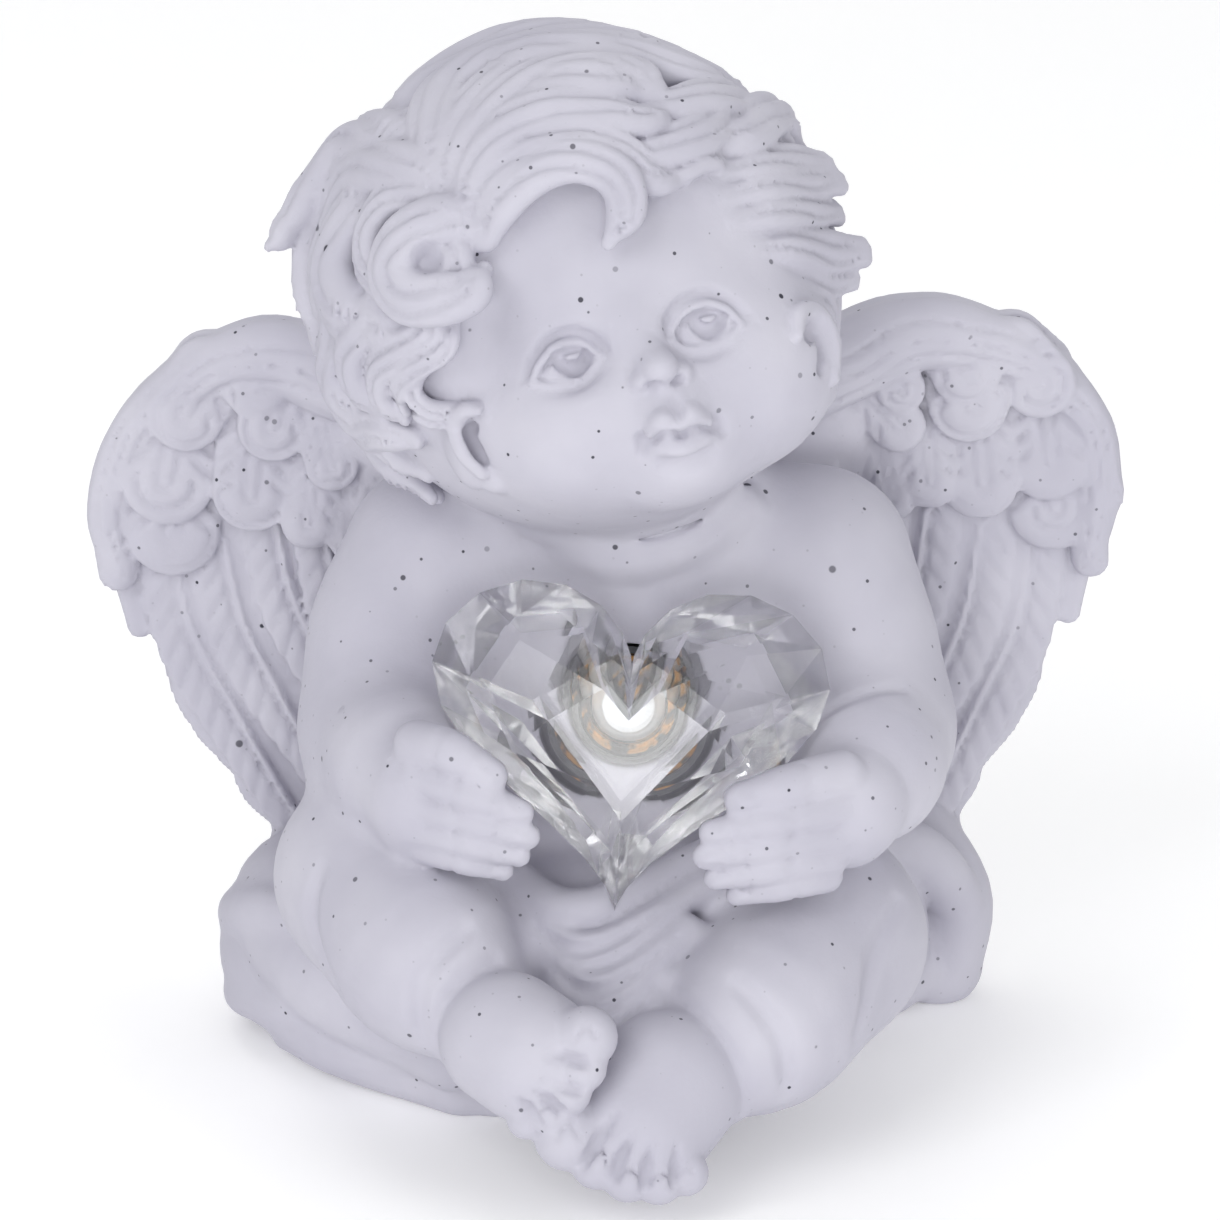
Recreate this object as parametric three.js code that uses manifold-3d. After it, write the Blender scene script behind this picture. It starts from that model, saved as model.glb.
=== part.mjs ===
// A seated memorial cherub, cast in one piece, that holds a facet-cut glass heart over a small round lamp.
// Millimetres, +Z up. The cherub faces -Y and the origin is on the flat underside.
import * as THREE from "three";
import { edgeTable, triTable } from "three/addons/objects/MarchingCubes.js";
import { mergeVertices } from "three/addons/utils/BufferGeometryUtils.js";
import Module from "manifold-3d";

// Driving sizes
const FIGURE_HEIGHT = 126;
const HEART_WIDTH = 45;
const HEART_HEIGHT = 37;
const HEART_THICKNESS = 17;
const HEART_LEAN_DEG = 16;
const LAMP_DIAMETER = 13;
const LAMP_RAISE = 4.4;
const LAMP_DEPTH = 6;
const LAMP_LENS_DIAMETER = 6.6;
const LAMP_SKIRT_DIAMETER = 8.4;
const SEAT_GAP = 0.3;
const FIGURE_TRIANGLES = 8600;

// The cherub is modelled at its master size, 126 mm high, and scaled to FIGURE_HEIGHT at the end. The heart
// and the lamp keep their own real sizes, and inMaster gives such a size at the scale of the modelling.
const MASTER_HEIGHT = 126;
const SCALE = FIGURE_HEIGHT / MASTER_HEIGHT;
const inMaster = (real) => real / SCALE;

const wasm = await Module();
wasm.setup();
const v3 = (x, y, z) => new THREE.Vector3(x, y, z);

// Clay: a grid of distances to the surface, negative inside, that shapes are added to and cut from
const FAR = 8;
const GRID_STEP = 1.05;
const MARGIN = 2.5;

function smoothMin(a, b, blend) {
  if (blend <= 0) return Math.min(a, b);
  const overlap = Math.max(blend - Math.abs(a - b), 0) / blend;
  return Math.min(a, b) - (overlap * overlap * blend) / 4;
}

class Clay {
  constructor(low, high, step) {
    this.low = low;
    this.step = step;
    this.count = ["x", "y", "z"].map((k) => Math.ceil((high[k] - low[k]) / step) + 1);
    this.field = new Float32Array(this.count[0] * this.count[1] * this.count[2]).fill(FAR);
  }
  change(shape, blend, combine) {
    const [nx, ny, nz] = this.count;
    const reach = blend + MARGIN;
    const first = [], last = [];
    ["x", "y", "z"].forEach((k, i) => {
      first[i] = Math.max(0, Math.floor((shape.box.min[k] - reach - this.low[k]) / this.step));
      last[i] = Math.min(this.count[i] - 1, Math.ceil((shape.box.max[k] + reach - this.low[k]) / this.step));
    });
    for (let k = first[2]; k <= last[2]; k++)
      for (let j = first[1]; j <= last[1]; j++)
        for (let i = first[0]; i <= last[0]; i++) {
          const at = i + nx * (j + ny * k);
          const d = shape.distance(
            this.low.x + i * this.step, this.low.y + j * this.step, this.low.z + k * this.step);
          this.field[at] = combine(this.field[at], d, blend);
        }
  }
  add(shape, blend = 0) {
    this.change(shape, blend, smoothMin);
  }
  cut(shape, blend = 0) {
    this.change(shape, blend, (f, d, b) => -smoothMin(-f, d, b));
  }
  // The distance at any place, between the ones on the grid
  at(place) {
    const cell = ["x", "y", "z"].map((k) => (place[k] - this.low[k]) / this.step);
    const base = cell.map((c, i) => Math.min(Math.max(Math.floor(c), 0), this.count[i] - 2));
    let sum = 0;
    for (let corner = 0; corner < 8; corner++) {
      let weight = 1, index = 0, stride = 1;
      for (let i = 0; i < 3; i++) {
        const up = (corner >> i) & 1;
        const share = Math.min(Math.max(cell[i] - base[i], 0), 1);
        weight *= up ? share : 1 - share;
        index += (base[i] + up) * stride;
        stride *= this.count[i];
      }
      sum += weight * this.field[index];
    }
    return sum;
  }
  // The place where a line from start along way first meets the clay
  firstHit(start, way) {
    const place = start.clone();
    let before = this.at(place);
    for (let reach = 0; reach < 40; reach += 0.2) {
      place.addScaledVector(way, 0.2);
      const now = this.at(place);
      if (now < 0) return place.addScaledVector(way, (-0.2 * now) / (now - before));
      before = now;
    }
    return start.clone();
  }
}

// Shapes: a box that holds them and a distance to their surface
function ellipsoid(centre, radii, turn = new THREE.Euler()) {
  const inverse = new THREE.Quaternion().setFromEuler(turn).invert();
  const reach = Math.max(radii.x, radii.y, radii.z);
  const turned = new THREE.Matrix4().makeRotationFromQuaternion(inverse);
  const m = new THREE.Matrix3().setFromMatrix4(turned).elements;
  return {
    box: new THREE.Box3().setFromCenterAndSize(centre, v3(2, 2, 2).multiplyScalar(reach)),
    distance: (x, y, z) => {
      const dx = x - centre.x, dy = y - centre.y, dz = z - centre.z;
      const a = m[0] * dx + m[3] * dy + m[6] * dz;
      const b = m[1] * dx + m[4] * dy + m[7] * dz;
      const c = m[2] * dx + m[5] * dy + m[8] * dz;
      const k0 = Math.hypot(a / radii.x, b / radii.y, c / radii.z);
      const k1 = Math.hypot(a / radii.x ** 2, b / radii.y ** 2, c / radii.z ** 2);
      return k1 < 1e-9 ? -reach : (k0 * (k0 - 1)) / k1;
    },
  };
}

const ball = (centre, radius) => ellipsoid(centre, v3(radius, radius, radius));

// A tapered rope along a smooth curve through the points. With flat under 1 its section is an oval that is
// thin along face(p), the way that a ribbon, feather or lock of hair at p looks out.
const forward = () => v3(0, -1, 0);
function rope(points, radii, { flat = 1, face = forward, pieces = 4 } = {}) {
  const n = (points.length - 1) * pieces;
  const curve = new THREE.CatmullRomCurve3(points, false, "centripetal");
  const at = [], width = [];
  for (let i = 0; i <= n; i++) {
    const t = i / n;
    at.push(curve.getPoint(t));
    const s = t * (radii.length - 1);
    const j = Math.min(Math.floor(s), radii.length - 2);
    const u = s - j;
    width.push(radii[j] + (radii[j + 1] - radii[j]) * u * u * (3 - 2 * u));
  }
  const outs = at.map((p) => face(p).normalize());
  return {
    box: new THREE.Box3().setFromPoints(at).expandByScalar(Math.max(...radii)),
    distance: (x, y, z) => {
      let best = Infinity, near = 0, r = 1, qx = 0, qy = 0, qz = 0;
      for (let i = 0; i < n; i++) {
        const a = at[i], b = at[i + 1];
        const bx = b.x - a.x, by = b.y - a.y, bz = b.z - a.z;
        const px = x - a.x, py = y - a.y, pz = z - a.z;
        const t = Math.min(1, Math.max(0, (px * bx + py * by + pz * bz) / (bx * bx + by * by + bz * bz)));
        const cx = px - bx * t, cy = py - by * t, cz = pz - bz * t;
        const w = width[i] + (width[i + 1] - width[i]) * t;
        const d = Math.sqrt(cx * cx + cy * cy + cz * cz) - w;
        if (d < best) {
          best = d;
          near = i;
          r = w;
          [qx, qy, qz] = [cx, cy, cz];
        }
      }
      if (flat === 1) return best;
      const out = outs[near];
      const up = qx * out.x + qy * out.y + qz * out.z;
      const side = Math.sqrt(Math.max(qx * qx + qy * qy + qz * qz - up * up, 0));
      const thin = r * flat;
      const k0 = Math.hypot(side / r, up / thin);
      const k1 = Math.hypot(side / r ** 2, up / thin ** 2);
      return k1 < 1e-9 ? -thin : (k0 * (k0 - 1)) / k1;
    },
  };
}

// The surface of the clay as an indexed mesh, by marching cubes
function skin(clay) {
  const [nx, ny, nz] = clay.count;
  const yd = nx, zd = nx * ny;
  const corner = [0, 1, 1 + yd, yd, zd, 1 + zd, 1 + yd + zd, yd + zd];
  const edge = [
    [0, 1], [1, 2], [3, 2], [0, 3], [4, 5], [5, 6], [7, 6], [4, 7], [0, 4], [1, 5], [2, 6], [3, 7],
  ];
  const NEAR = 0.03 * clay.step;
  const f = clay.field;
  for (let i = 0; i < f.length; i++) {
    const at = [i % nx, Math.floor(i / nx) % ny, Math.floor(i / zd)];
    const onBorder = at.some((p, k) => p === 0 || p === clay.count[k] - 1);
    if (onBorder) f[i] = FAR;
    if (Math.abs(f[i]) < NEAR) f[i] = f[i] < 0 ? -NEAR : NEAR;
  }
  const made = new Map();
  const points = [], triangles = [];
  const vertex = (a, b) => {
    const key = a * 4 + (b - a === 1 ? 0 : b - a === yd ? 1 : 2);
    let id = made.get(key);
    if (id === undefined) {
      id = points.length / 3;
      made.set(key, id);
      const t = f[a] / (f[a] - f[b]);
      const at = (q) => [q % nx, Math.floor(q / nx) % ny, Math.floor(q / zd)];
      const pa = at(a), pb = at(b);
      ["x", "y", "z"].forEach((k, i) => {
        points.push(clay.low[k] + clay.step * (pa[i] + (pb[i] - pa[i]) * t));
      });
    }
    return id;
  };
  for (let k = 0; k < nz - 1; k++)
    for (let j = 0; j < ny - 1; j++)
      for (let i = 0; i < nx - 1; i++) {
        const q = i + yd * j + zd * k;
        let index = 0;
        for (let c = 0; c < 8; c++) if (f[q + corner[c]] < 0) index |= 1 << c;
        if (edgeTable[index] === 0) continue;
        for (let t = index * 16; triTable[t] !== -1; t += 3)
          for (let s = 0; s < 3; s++) {
            const [a, b] = edge[triTable[t + s]];
            triangles.push(vertex(q + corner[a], q + corner[b]));
          }
      }
  return { points, triangles };
}

// Fewer triangles, by collapsing the edges that change the shape least. The surface stays closed and whole.
function thinOut({ points, triangles }, target, careAt) {
  const quadric = new Float64Array((points.length / 3) * 10);
  const tri = Int32Array.from(triangles);
  const facesOf = Array.from({ length: points.length / 3 }, () => []);
  const stamp = new Int32Array(points.length / 3);
  const normal = (a, b, c) => {
    const [ax, ay, az] = [points[3 * a], points[3 * a + 1], points[3 * a + 2]];
    const ux = points[3 * b] - ax, uy = points[3 * b + 1] - ay, uz = points[3 * b + 2] - az;
    const wx = points[3 * c] - ax, wy = points[3 * c + 1] - ay, wz = points[3 * c + 2] - az;
    return [uy * wz - uz * wy, uz * wx - ux * wz, ux * wy - uy * wx];
  };
  for (let f = 0; f < tri.length; f += 3) {
    const v = [tri[f], tri[f + 1], tri[f + 2]];
    const n = normal(...v);
    const size = Math.hypot(...n);
    v.forEach((p) => facesOf[p].push(f));
    if (size < 1e-12) continue;
    const [a, b, c] = n.map((x) => x / size);
    const d = -(a * points[3 * v[0]] + b * points[3 * v[0] + 1] + c * points[3 * v[0] + 2]);
    const weight = size * careAt(points[3 * v[0]], points[3 * v[0] + 1], points[3 * v[0] + 2]);
    const q = [a * a, a * b, a * c, a * d, b * b, b * c, b * d, c * c, c * d, d * d];
    for (const p of v) for (let i = 0; i < 10; i++) quadric[10 * p + i] += q[i] * weight;
  }
  const q = new Float64Array(10);
  const errorAt = (x, y, z) =>
    q[0] * x * x + 2 * q[1] * x * y + 2 * q[2] * x * z + 2 * q[3] * x + q[4] * y * y +
    2 * q[5] * y * z + 2 * q[6] * y + q[7] * z * z + 2 * q[8] * z + q[9];
  const best = (a, b) => {
    for (let i = 0; i < 10; i++) q[i] = quadric[10 * a + i] + quadric[10 * b + i];
    const mid = [0, 1, 2].map((i) => (points[3 * a + i] + points[3 * b + i]) / 2);
    const det = q[0] * (q[4] * q[7] - q[5] * q[5]) - q[1] * (q[1] * q[7] - q[5] * q[2]) +
      q[2] * (q[1] * q[5] - q[4] * q[2]);
    let at = mid;
    if (Math.abs(det) > 1e-9 * (q[0] + q[4] + q[7]) ** 3) {
      const x = -(q[3] * (q[4] * q[7] - q[5] * q[5]) - q[1] * (q[6] * q[7] - q[5] * q[8]) +
        q[2] * (q[6] * q[5] - q[4] * q[8])) / det;
      const y = -(q[0] * (q[6] * q[7] - q[8] * q[5]) - q[3] * (q[1] * q[7] - q[5] * q[2]) +
        q[2] * (q[1] * q[8] - q[6] * q[2])) / det;
      const z = -(q[0] * (q[4] * q[8] - q[5] * q[6]) - q[1] * (q[1] * q[8] - q[6] * q[2]) +
        q[3] * (q[1] * q[5] - q[4] * q[2])) / det;
      const length = Math.hypot(...[0, 1, 2].map((i) => points[3 * a + i] - points[3 * b + i]));
      if (Math.hypot(x - mid[0], y - mid[1], z - mid[2]) < 1.5 * length) at = [x, y, z];
    }
    const spread = [0, 1, 2].reduce((s, i) => s + (points[3 * a + i] - points[3 * b + i]) ** 2, 0);
    return { at, cost: Math.max(errorAt(...at), 0) + 1e-4 * spread * Math.sqrt(spread) };
  };
  const heap = [];
  const push = (entry) => {
    let i = heap.push(entry) - 1;
    while (i > 0) {
      const up = (i - 1) >> 1;
      if (heap[up].cost <= entry.cost) break;
      heap[i] = heap[up];
      i = up;
    }
    heap[i] = entry;
  };
  const pop = () => {
    const top = heap[0], entry = heap.pop();
    if (!heap.length) return top;
    let i = 0;
    for (;;) {
      let child = 2 * i + 1;
      if (child >= heap.length) break;
      if (child + 1 < heap.length && heap[child + 1].cost < heap[child].cost) child++;
      if (heap[child].cost >= entry.cost) break;
      heap[i] = heap[child];
      i = child;
    }
    heap[i] = entry;
    return top;
  };
  const offer = (a, b) => push({ a, b, sa: stamp[a], sb: stamp[b], ...best(a, b) });
  const around = (p) => {
    const ring = new Set();
    for (const f of facesOf[p]) for (let i = 0; i < 3; i++) if (tri[f + i] !== p) ring.add(tri[f + i]);
    return ring;
  };
  const flips = (p, other, at) => {
    for (const f of facesOf[p]) {
      const v = [tri[f], tri[f + 1], tri[f + 2]];
      if (v.includes(other)) continue;
      const before = normal(...v);
      const old = [0, 1, 2].map((i) => points[3 * p + i]);
      at.forEach((x, i) => (points[3 * p + i] = x));
      const after = normal(...v);
      old.forEach((x, i) => (points[3 * p + i] = x));
      const dot = before[0] * after[0] + before[1] * after[1] + before[2] * after[2];
      if (dot < 0.3 * Math.hypot(...before) * Math.hypot(...after)) return true;
    }
    return false;
  };
  for (let f = 0; f < tri.length; f += 3)
    for (let i = 0; i < 3; i++) {
      const a = tri[f + i], b = tri[f + ((i + 1) % 3)];
      if (a < b) offer(a, b);
    }
  let left = tri.length / 3;
  while (left > target && heap.length > 1) {
    const e = pop();
    const { a, b, at } = e;
    if (stamp[a] !== e.sa || stamp[b] !== e.sb) continue;
    const ringA = around(a), ringB = around(b);
    const shared = [...ringA].filter((p) => ringB.has(p));
    if (shared.length !== 2 || shared.some((p) => facesOf[p].length <= 3)) continue;
    if (flips(a, b, at) || flips(b, a, at)) continue;
    at.forEach((x, i) => (points[3 * a + i] = x));
    for (let i = 0; i < 10; i++) quadric[10 * a + i] += quadric[10 * b + i];
    for (const f of facesOf[b]) {
      const v = [tri[f], tri[f + 1], tri[f + 2]];
      if (v.includes(a)) {
        for (const p of v) if (p !== b) facesOf[p] = facesOf[p].filter((g) => g !== f);
        tri.fill(-1, f, f + 3);
        left--;
      } else {
        tri[f + v.indexOf(b)] = a;
        facesOf[a].push(f);
      }
    }
    facesOf[b] = [];
    stamp[a]++;
    stamp[b] = -1;
    for (const p of around(a)) offer(a, p);
  }
  return { points, triangles: Array.from(tri).filter((p) => p >= 0) };
}

// Solids for cutting and joining
function solidOf(points, triangles) {
  const used = new Map();
  const kept = [];
  const triVerts = Uint32Array.from(triangles, (p) => {
    if (!used.has(p)) {
      used.set(p, kept.length / 3);
      kept.push(points[3 * p], points[3 * p + 1], points[3 * p + 2]);
    }
    return used.get(p);
  });
  const mesh = new wasm.Mesh({ numProp: 3, vertProperties: Float32Array.from(kept), triVerts });
  const solid = new wasm.Manifold(mesh);
  if (solid.volume() > 0) return solid;
  for (let i = 0; i < triVerts.length; i += 3) {
    [triVerts[i], triVerts[i + 1]] = [triVerts[i + 1], triVerts[i]];
  }
  return new wasm.Manifold(new wasm.Mesh({ numProp: 3, vertProperties: Float32Array.from(kept), triVerts }));
}

const rad = THREE.MathUtils.degToRad;
const SIDES = [-1, 1];

// The heart stands before the chest, its back on one plane whatever its thickness
const HEART_BACK = -13;
const heartCentre = v3(1.8, HEART_BACK - inMaster(HEART_THICKNESS) / 2, 46.6);
const heartHalfWidth = inMaster(HEART_WIDTH) / 2;

// Body and limbs. -X is the cherub's right side, on the left of its picture.
function body(clay) {
  clay.add(ellipsoid(v3(1, 8, 15), v3(25, 22, 16)));
  clay.add(ellipsoid(v3(2, 0, 34), v3(20, 14, 17)), 6);
  clay.add(ellipsoid(v3(3, 3, 54), v3(21, 13, 17)), 6);
  clay.add(rope([v3(-17, 5, 62), v3(3, 5, 65), v3(23, 5, 61)], [9, 9, 9]), 6);
  clay.add(rope([v3(3, 2, 66), v3(3.5, -2, 78)], [12, 11]), 5);
  // The crease under the chin, with a soft fold below it
  const crease = [[-10, 72.4], [-4, 69.2], [1.2, 67.9], [8, 69], [16, 72]];
  const onChest = (drop) => crease.map(([x, z]) => clay.firstHit(v3(x, -35, z - drop), v3(0, 1, 0)));
  const fold = onChest(2.8).map((place) => place.add(v3(0, 0.6, 0)));
  clay.cut(rope(onChest(0), [0.5, 0.9, 1.1, 0.9, 0.5]), 1.5);
  clay.add(rope(fold, [0.8, 1.2, 1.4, 1.2, 0.8]), 3);
}

function arms(clay) {
  clay.add(rope([v3(-21, 4, 61), v3(-25, 0, 52), v3(-25.5, -6, 43)], [9.5, 10, 9.8]), 5);
  const wristX = (side, x) => heartCentre.x + side * (heartHalfWidth + x);
  clay.add(rope([v3(-25.5, -6, 43), v3(-24, -17, 43.5), v3(wristX(-1, 0.3), -25, 43)], [9.8, 8.6, 6]), 3);
  clay.add(rope([v3(25, 4, 60), v3(28, 0, 51), v3(29.5, -5, 43)], [9.5, 10, 9.8]), 5);
  clay.add(rope([v3(29.5, -5, 43), v3(29.5, -15, 42.5), v3(wristX(1, 3.2), -23, 41.5)], [9.8, 9, 6.5]), 3);
  clay.cut(rope([v3(-24, -15, 54), v3(-19, -17, 53.5), v3(-14, -16, 51)], [0.3, 0.8, 0.5]), 1.5);
  clay.cut(rope([v3(33, -14, 51), v3(27, -17, 51.5), v3(21, -18, 47)], [0.3, 0.8, 0.5]), 1.5);
}

// Hands: the palm, the thumb on top and four fingers, which lie against the lower edges of the heart.
// x is counted outward from the heart's widest point and y forward from its middle.
function hand(clay, side, palm, thumb, fingers) {
  const held = ([x, y, z]) => v3(heartCentre.x + side * (heartHalfWidth + x), heartCentre.y - y, z);
  clay.add(ellipsoid(held(palm), v3(4.8, 4.4, 6.2)), 3);
  fingers.forEach(([base, tip], i) => {
    const knuckle = held(base).lerp(held(tip), 0.5).add(v3(0, -1.4, 0.6));
    clay.add(rope([held(base), knuckle, held(tip)], [2.3, 2.2, 1.7].map((r) => r - 0.1 * i)), 0.4);
  });
  clay.add(rope(thumb.map(held), [2.8, 2.5, 2]), 0.9);
}

function hands(clay) {
  hand(clay, -1, [1.2, 5, 42.6], [[0.8, 6.5, 49.6], [-2.7, 9.6, 50], [-7.3, 10.4, 47.4]], [
    [[0.8, 7.6, 46.4], [-10.6, 10.6, 43]],
    [[0.8, 7.6, 42.8], [-11.4, 10.6, 40.2]],
    [[0.3, 7.6, 39.8], [-10.4, 10.2, 37.8]],
    [[-0.2, 7, 37.4], [-8.6, 9.2, 35.6]],
  ]);
  hand(clay, 1, [2.4, 4.5, 40.4], [[1.6, 6.4, 46], [-4, 9.8, 46], [-9.6, 11, 44.8]], [
    [[1, 7.6, 42.4], [-12.8, 11.6, 41]],
    [[1, 7.6, 39.2], [-13.6, 11.6, 38.2]],
    [[0.5, 7.6, 36.4], [-12.4, 11.2, 35.4]],
    [[0, 7, 34], [-10, 10.2, 33]],
  ]);
}

function legs(clay) {
  clay.add(rope([v3(-10, 6, 18), v3(-20, -6, 24), v3(-26, -14, 28)], [15, 13.5, 12]), 4);
  clay.add(rope([v3(-26, -14, 28), v3(-21.5, -27, 24.5), v3(-14.5, -36, 19.5)], [11.8, 10.6, 6.4]), 3);
  clay.add(rope([v3(12, 6, 17), v3(22, -8, 20), v3(24, -16, 21)], [15, 13, 11.8]), 4);
  clay.add(rope([v3(24, -16, 21), v3(18, -29, 18), v3(11, -36, 14)], [11.8, 11, 7.2]), 3);
}

// Feet, crossed. Each has a rounded back and five toes along its front edge, with grooves between them.
function foot(clay, heel, ball, radii, toes, sizes, grooves) {
  clay.add(rope([heel, ball], radii), 0.8);
  toes.forEach((toe, i) => {
    clay.add(rope([ball.clone().lerp(toe, 0.5), toe], [sizes[i] * 1.1, sizes[i]]), 0.6);
  });
  for (const groove of grooves) {
    const path = groove.map(([x, z]) => clay.firstHit(v3(x, -60, z), v3(0, 1, 0)).add(v3(0, -0.3, 0)));
    clay.cut(rope(path, [0.6, 0.8, 0.6]), 0.6);
  }
}

function feet(clay) {
  foot(clay, v3(6.5, -39, 13), v3(3.4, -42.6, 9.8), [8.4, 8.2], [
    v3(-4.6, -47.2, 10.4), v3(-1.4, -48.6, 7.8), v3(2, -49.2, 6.4), v3(5.4, -48.8, 5.8), v3(8.4, -47.4, 6),
  ], [3.9, 3, 2.9, 2.8, 2.6], [
    [[0.6, 14], [-1, 11.6], [-3, 8.6]], [[2.6, 12], [1.2, 9.4], [0.6, 7.4]],
    [[4.8, 11], [4, 8.2], [3.8, 6.4]], [[7.4, 10.4], [7.2, 7.8], [7.1, 6.4]],
  ]);
  foot(clay, v3(-11.5, -40, 19), v3(-8.8, -42.4, 18), [7.6, 7.6], [
    v3(-2.6, -45.8, 21.8), v3(-3, -47.4, 18.8), v3(-4.6, -48.2, 16.2), v3(-6.8, -48.2, 14),
    v3(-9.2, -47, 12.4),
  ], [3.5, 2.7, 2.6, 2.5, 2.3], [
    [[-8.2, 20.6], [-5.6, 20.8], [-3.8, 20.5]], [[-8.6, 18.6], [-6, 18], [-4.4, 17.6]],
    [[-9.4, 17.2], [-7.4, 16.4], [-6, 15.6]], [[-11, 16.4], [-9.4, 15.2], [-8.4, 14.2]],
  ]);
}

// Cloth: what the cherub sits on, in long rounded folds, and the end of it that hangs between the legs
function cloth(clay) {
  clay.add(ellipsoid(v3(-5, 10, 4), v3(31, 27, 10)), 4);
  clay.add(ellipsoid(v3(1, 18, 11), v3(33, 20, 13)), 4);
  const folds = [
    [[v3(-18, -20, 9), v3(-33, -6, 13), v3(-38, 9, 15), v3(-33, 23, 15), v3(-18, 33, 16), v3(0, 36, 17),
      v3(18, 31, 19), v3(33, 20, 21), v3(40, 17, 13), v3(39.5, 17, 4)],
      [5, 6.5, 7, 6, 6, 6, 6, 5.8, 5.8, 5.5]],
    [[v3(-17, -16, 4), v3(-33, -5, 6), v3(-40, 8, 9), v3(-37, 23, 8), v3(-22, 35, 7), v3(0, 39, 7),
      v3(22, 35, 7), v3(36, 26, 7), v3(36, 14, 5)], [5, 5.5, 6.4, 6.6, 6.6, 6.6, 6.6, 6, 4.5]],
    [[v3(-13, -16, 3), v3(-26, -7, 3), v3(-35, 6, 3), v3(-28, 24, 2)], [4.5, 4.5, 5, 6]],
    [[v3(20, 8, 24), v3(30, 6, 20), v3(33.5, 9, 12), v3(33, 12, 4)], [5, 5, 4.5, 4.5]],
    [[v3(27, 2, 26), v3(36, 8, 22), v3(41, 13, 14), v3(41.5, 14, 6)], [2.5, 3.6, 3.4, 2.6]],
    [[v3(-36, -6, 20), v3(-42, 4, 16), v3(-43, 14, 12), v3(-38, 26, 10)], [2.4, 3.4, 3.6, 3]],
    [[v3(-30, -12, 12), v3(-38, -4, 8), v3(-43, 6, 5), v3(-42, 16, 3)], [1.8, 2.6, 3, 2.4]],
  ];
  for (const [path, radii] of folds) clay.add(rope(path, radii), 1.2);
  clay.add(ellipsoid(v3(0, -14.5, 19.5), v3(14, 14.5, 12.5)), 3);
  // The end that hangs in the lap: rounded swags, each under the one before, with a crease below each
  const swags = [
    [v3(-12, -18, 31), v3(-4.4, -24.6, 28), v3(11, -19, 33)],
    [v3(-10, -21, 27.6), v3(-2.6, -28.4, 24.4), v3(10.6, -21.5, 30)],
    [v3(-8, -25.5, 23.6), v3(-1, -31.8, 21), v3(8.6, -25.6, 26.4)],
    [v3(-6, -29.6, 20), v3(0.4, -34.8, 17.4), v3(6, -30, 21.6)],
  ];
  for (const swag of swags) clay.add(rope(swag, [1.6, 2.6, 1.7]), 1);
  for (const [left, low, right] of swags) {
    const line = [left, left.clone().lerp(low, 0.5), low, low.clone().lerp(right, 0.5), right];
    const crease = line.map(({ x, z }) => clay.firstHit(v3(x, -55, z - 2.6), v3(0, 1, 0)));
    clay.cut(rope(crease, [0.6, 0.9, 1, 0.9, 0.7]), 0.9);
  }
}

// Wings. A wing is laid out flat, u out from the spine and v up, then bowed, and its rim comes forward.
const WING_TIP = { u: 40, v: 17 };
const WING_SPLAY_DEG = { "-1": 3, 1: 0 };
function onWing(side, u, v, forwardBy = 0) {
  const turn = rad(WING_SPLAY_DEG[side]);
  const du = u - WING_TIP.u, dv = (v - WING_TIP.v) * (side < 0 ? 0.965 : 1);
  const out = WING_TIP.u + du * Math.cos(turn) + dv * Math.sin(turn);
  const high = WING_TIP.v + dv * Math.cos(turn) - du * Math.sin(turn);
  return v3(side * out, 19 + 0.12 * (out - 20) - forwardBy, high);
}

const LEADING_EDGE = {
  "-1": [[12, 68], [20, 76], [29, 79.4], [36, 82.3], [43, 81], [50, 76.2], [54.6, 70.5], [57, 62], [56, 55]],
  1: [[12, 68], [20, 76.5], [28, 80.2], [34.5, 82.8], [41, 82.6], [48, 79.6], [53, 75.6], [56.8, 70],
    [57.6, 62], [56.6, 55]],
};
const LEADING_EDGE_RADII = [5.8, 5.3, 4.9, 4.4, 3.6, 3.1, 2.8, 2.7, 2.1];
const LONG_FEATHERS = [
  [[[26.5, 57], [26.5, 50], [26, 44]], 2.6],
  [[[33, 59], [32, 50], [30, 42]], 2.8],
  [[[38.8, 60], [37.4, 50], [34.3, 42], [31, 34]], 3],
  [[[45.2, 58], [43.6, 47], [39.6, 37], [34.5, 27]], 3.1],
  [[[51.4, 56], [49.8, 45.5], [45, 34.5], [38.6, 21.5]], 3.3],
];
// Coverts, the short round feathers, as [root u, root v, tip u, tip v, half width], lowest row first
const COVERTS = {
  "-1": [
    [28.5, 63, 28.3, 56, 2.4], [49, 63, 49.5, 54.5, 4.7], [32, 66.5, 33.2, 57.8, 2.8],
    [38.6, 70, 39.6, 60.3, 4], [48, 71, 49.6, 61.4, 4.7], [31, 73, 30, 65.5, 2.7],
    [34.6, 75.5, 36.6, 69.4, 3.6],
    [43.8, 77, 46.8, 70.9, 3.8],
  ],
  1: [
    [31.4, 67.4, 33.3, 60, 2.4], [51.7, 62, 52.4, 55.6, 4.5], [36.6, 70, 37.6, 61.5, 2.9],
    [43.1, 69.5, 43.6, 60, 3.8], [50.9, 72, 51.7, 62, 4], [29.7, 73.4, 33.8, 68.8, 2.7],
    [41.2, 74.5, 42, 69.8, 4], [47, 77.2, 50.3, 72.6, 3.6],
  ],
};
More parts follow.
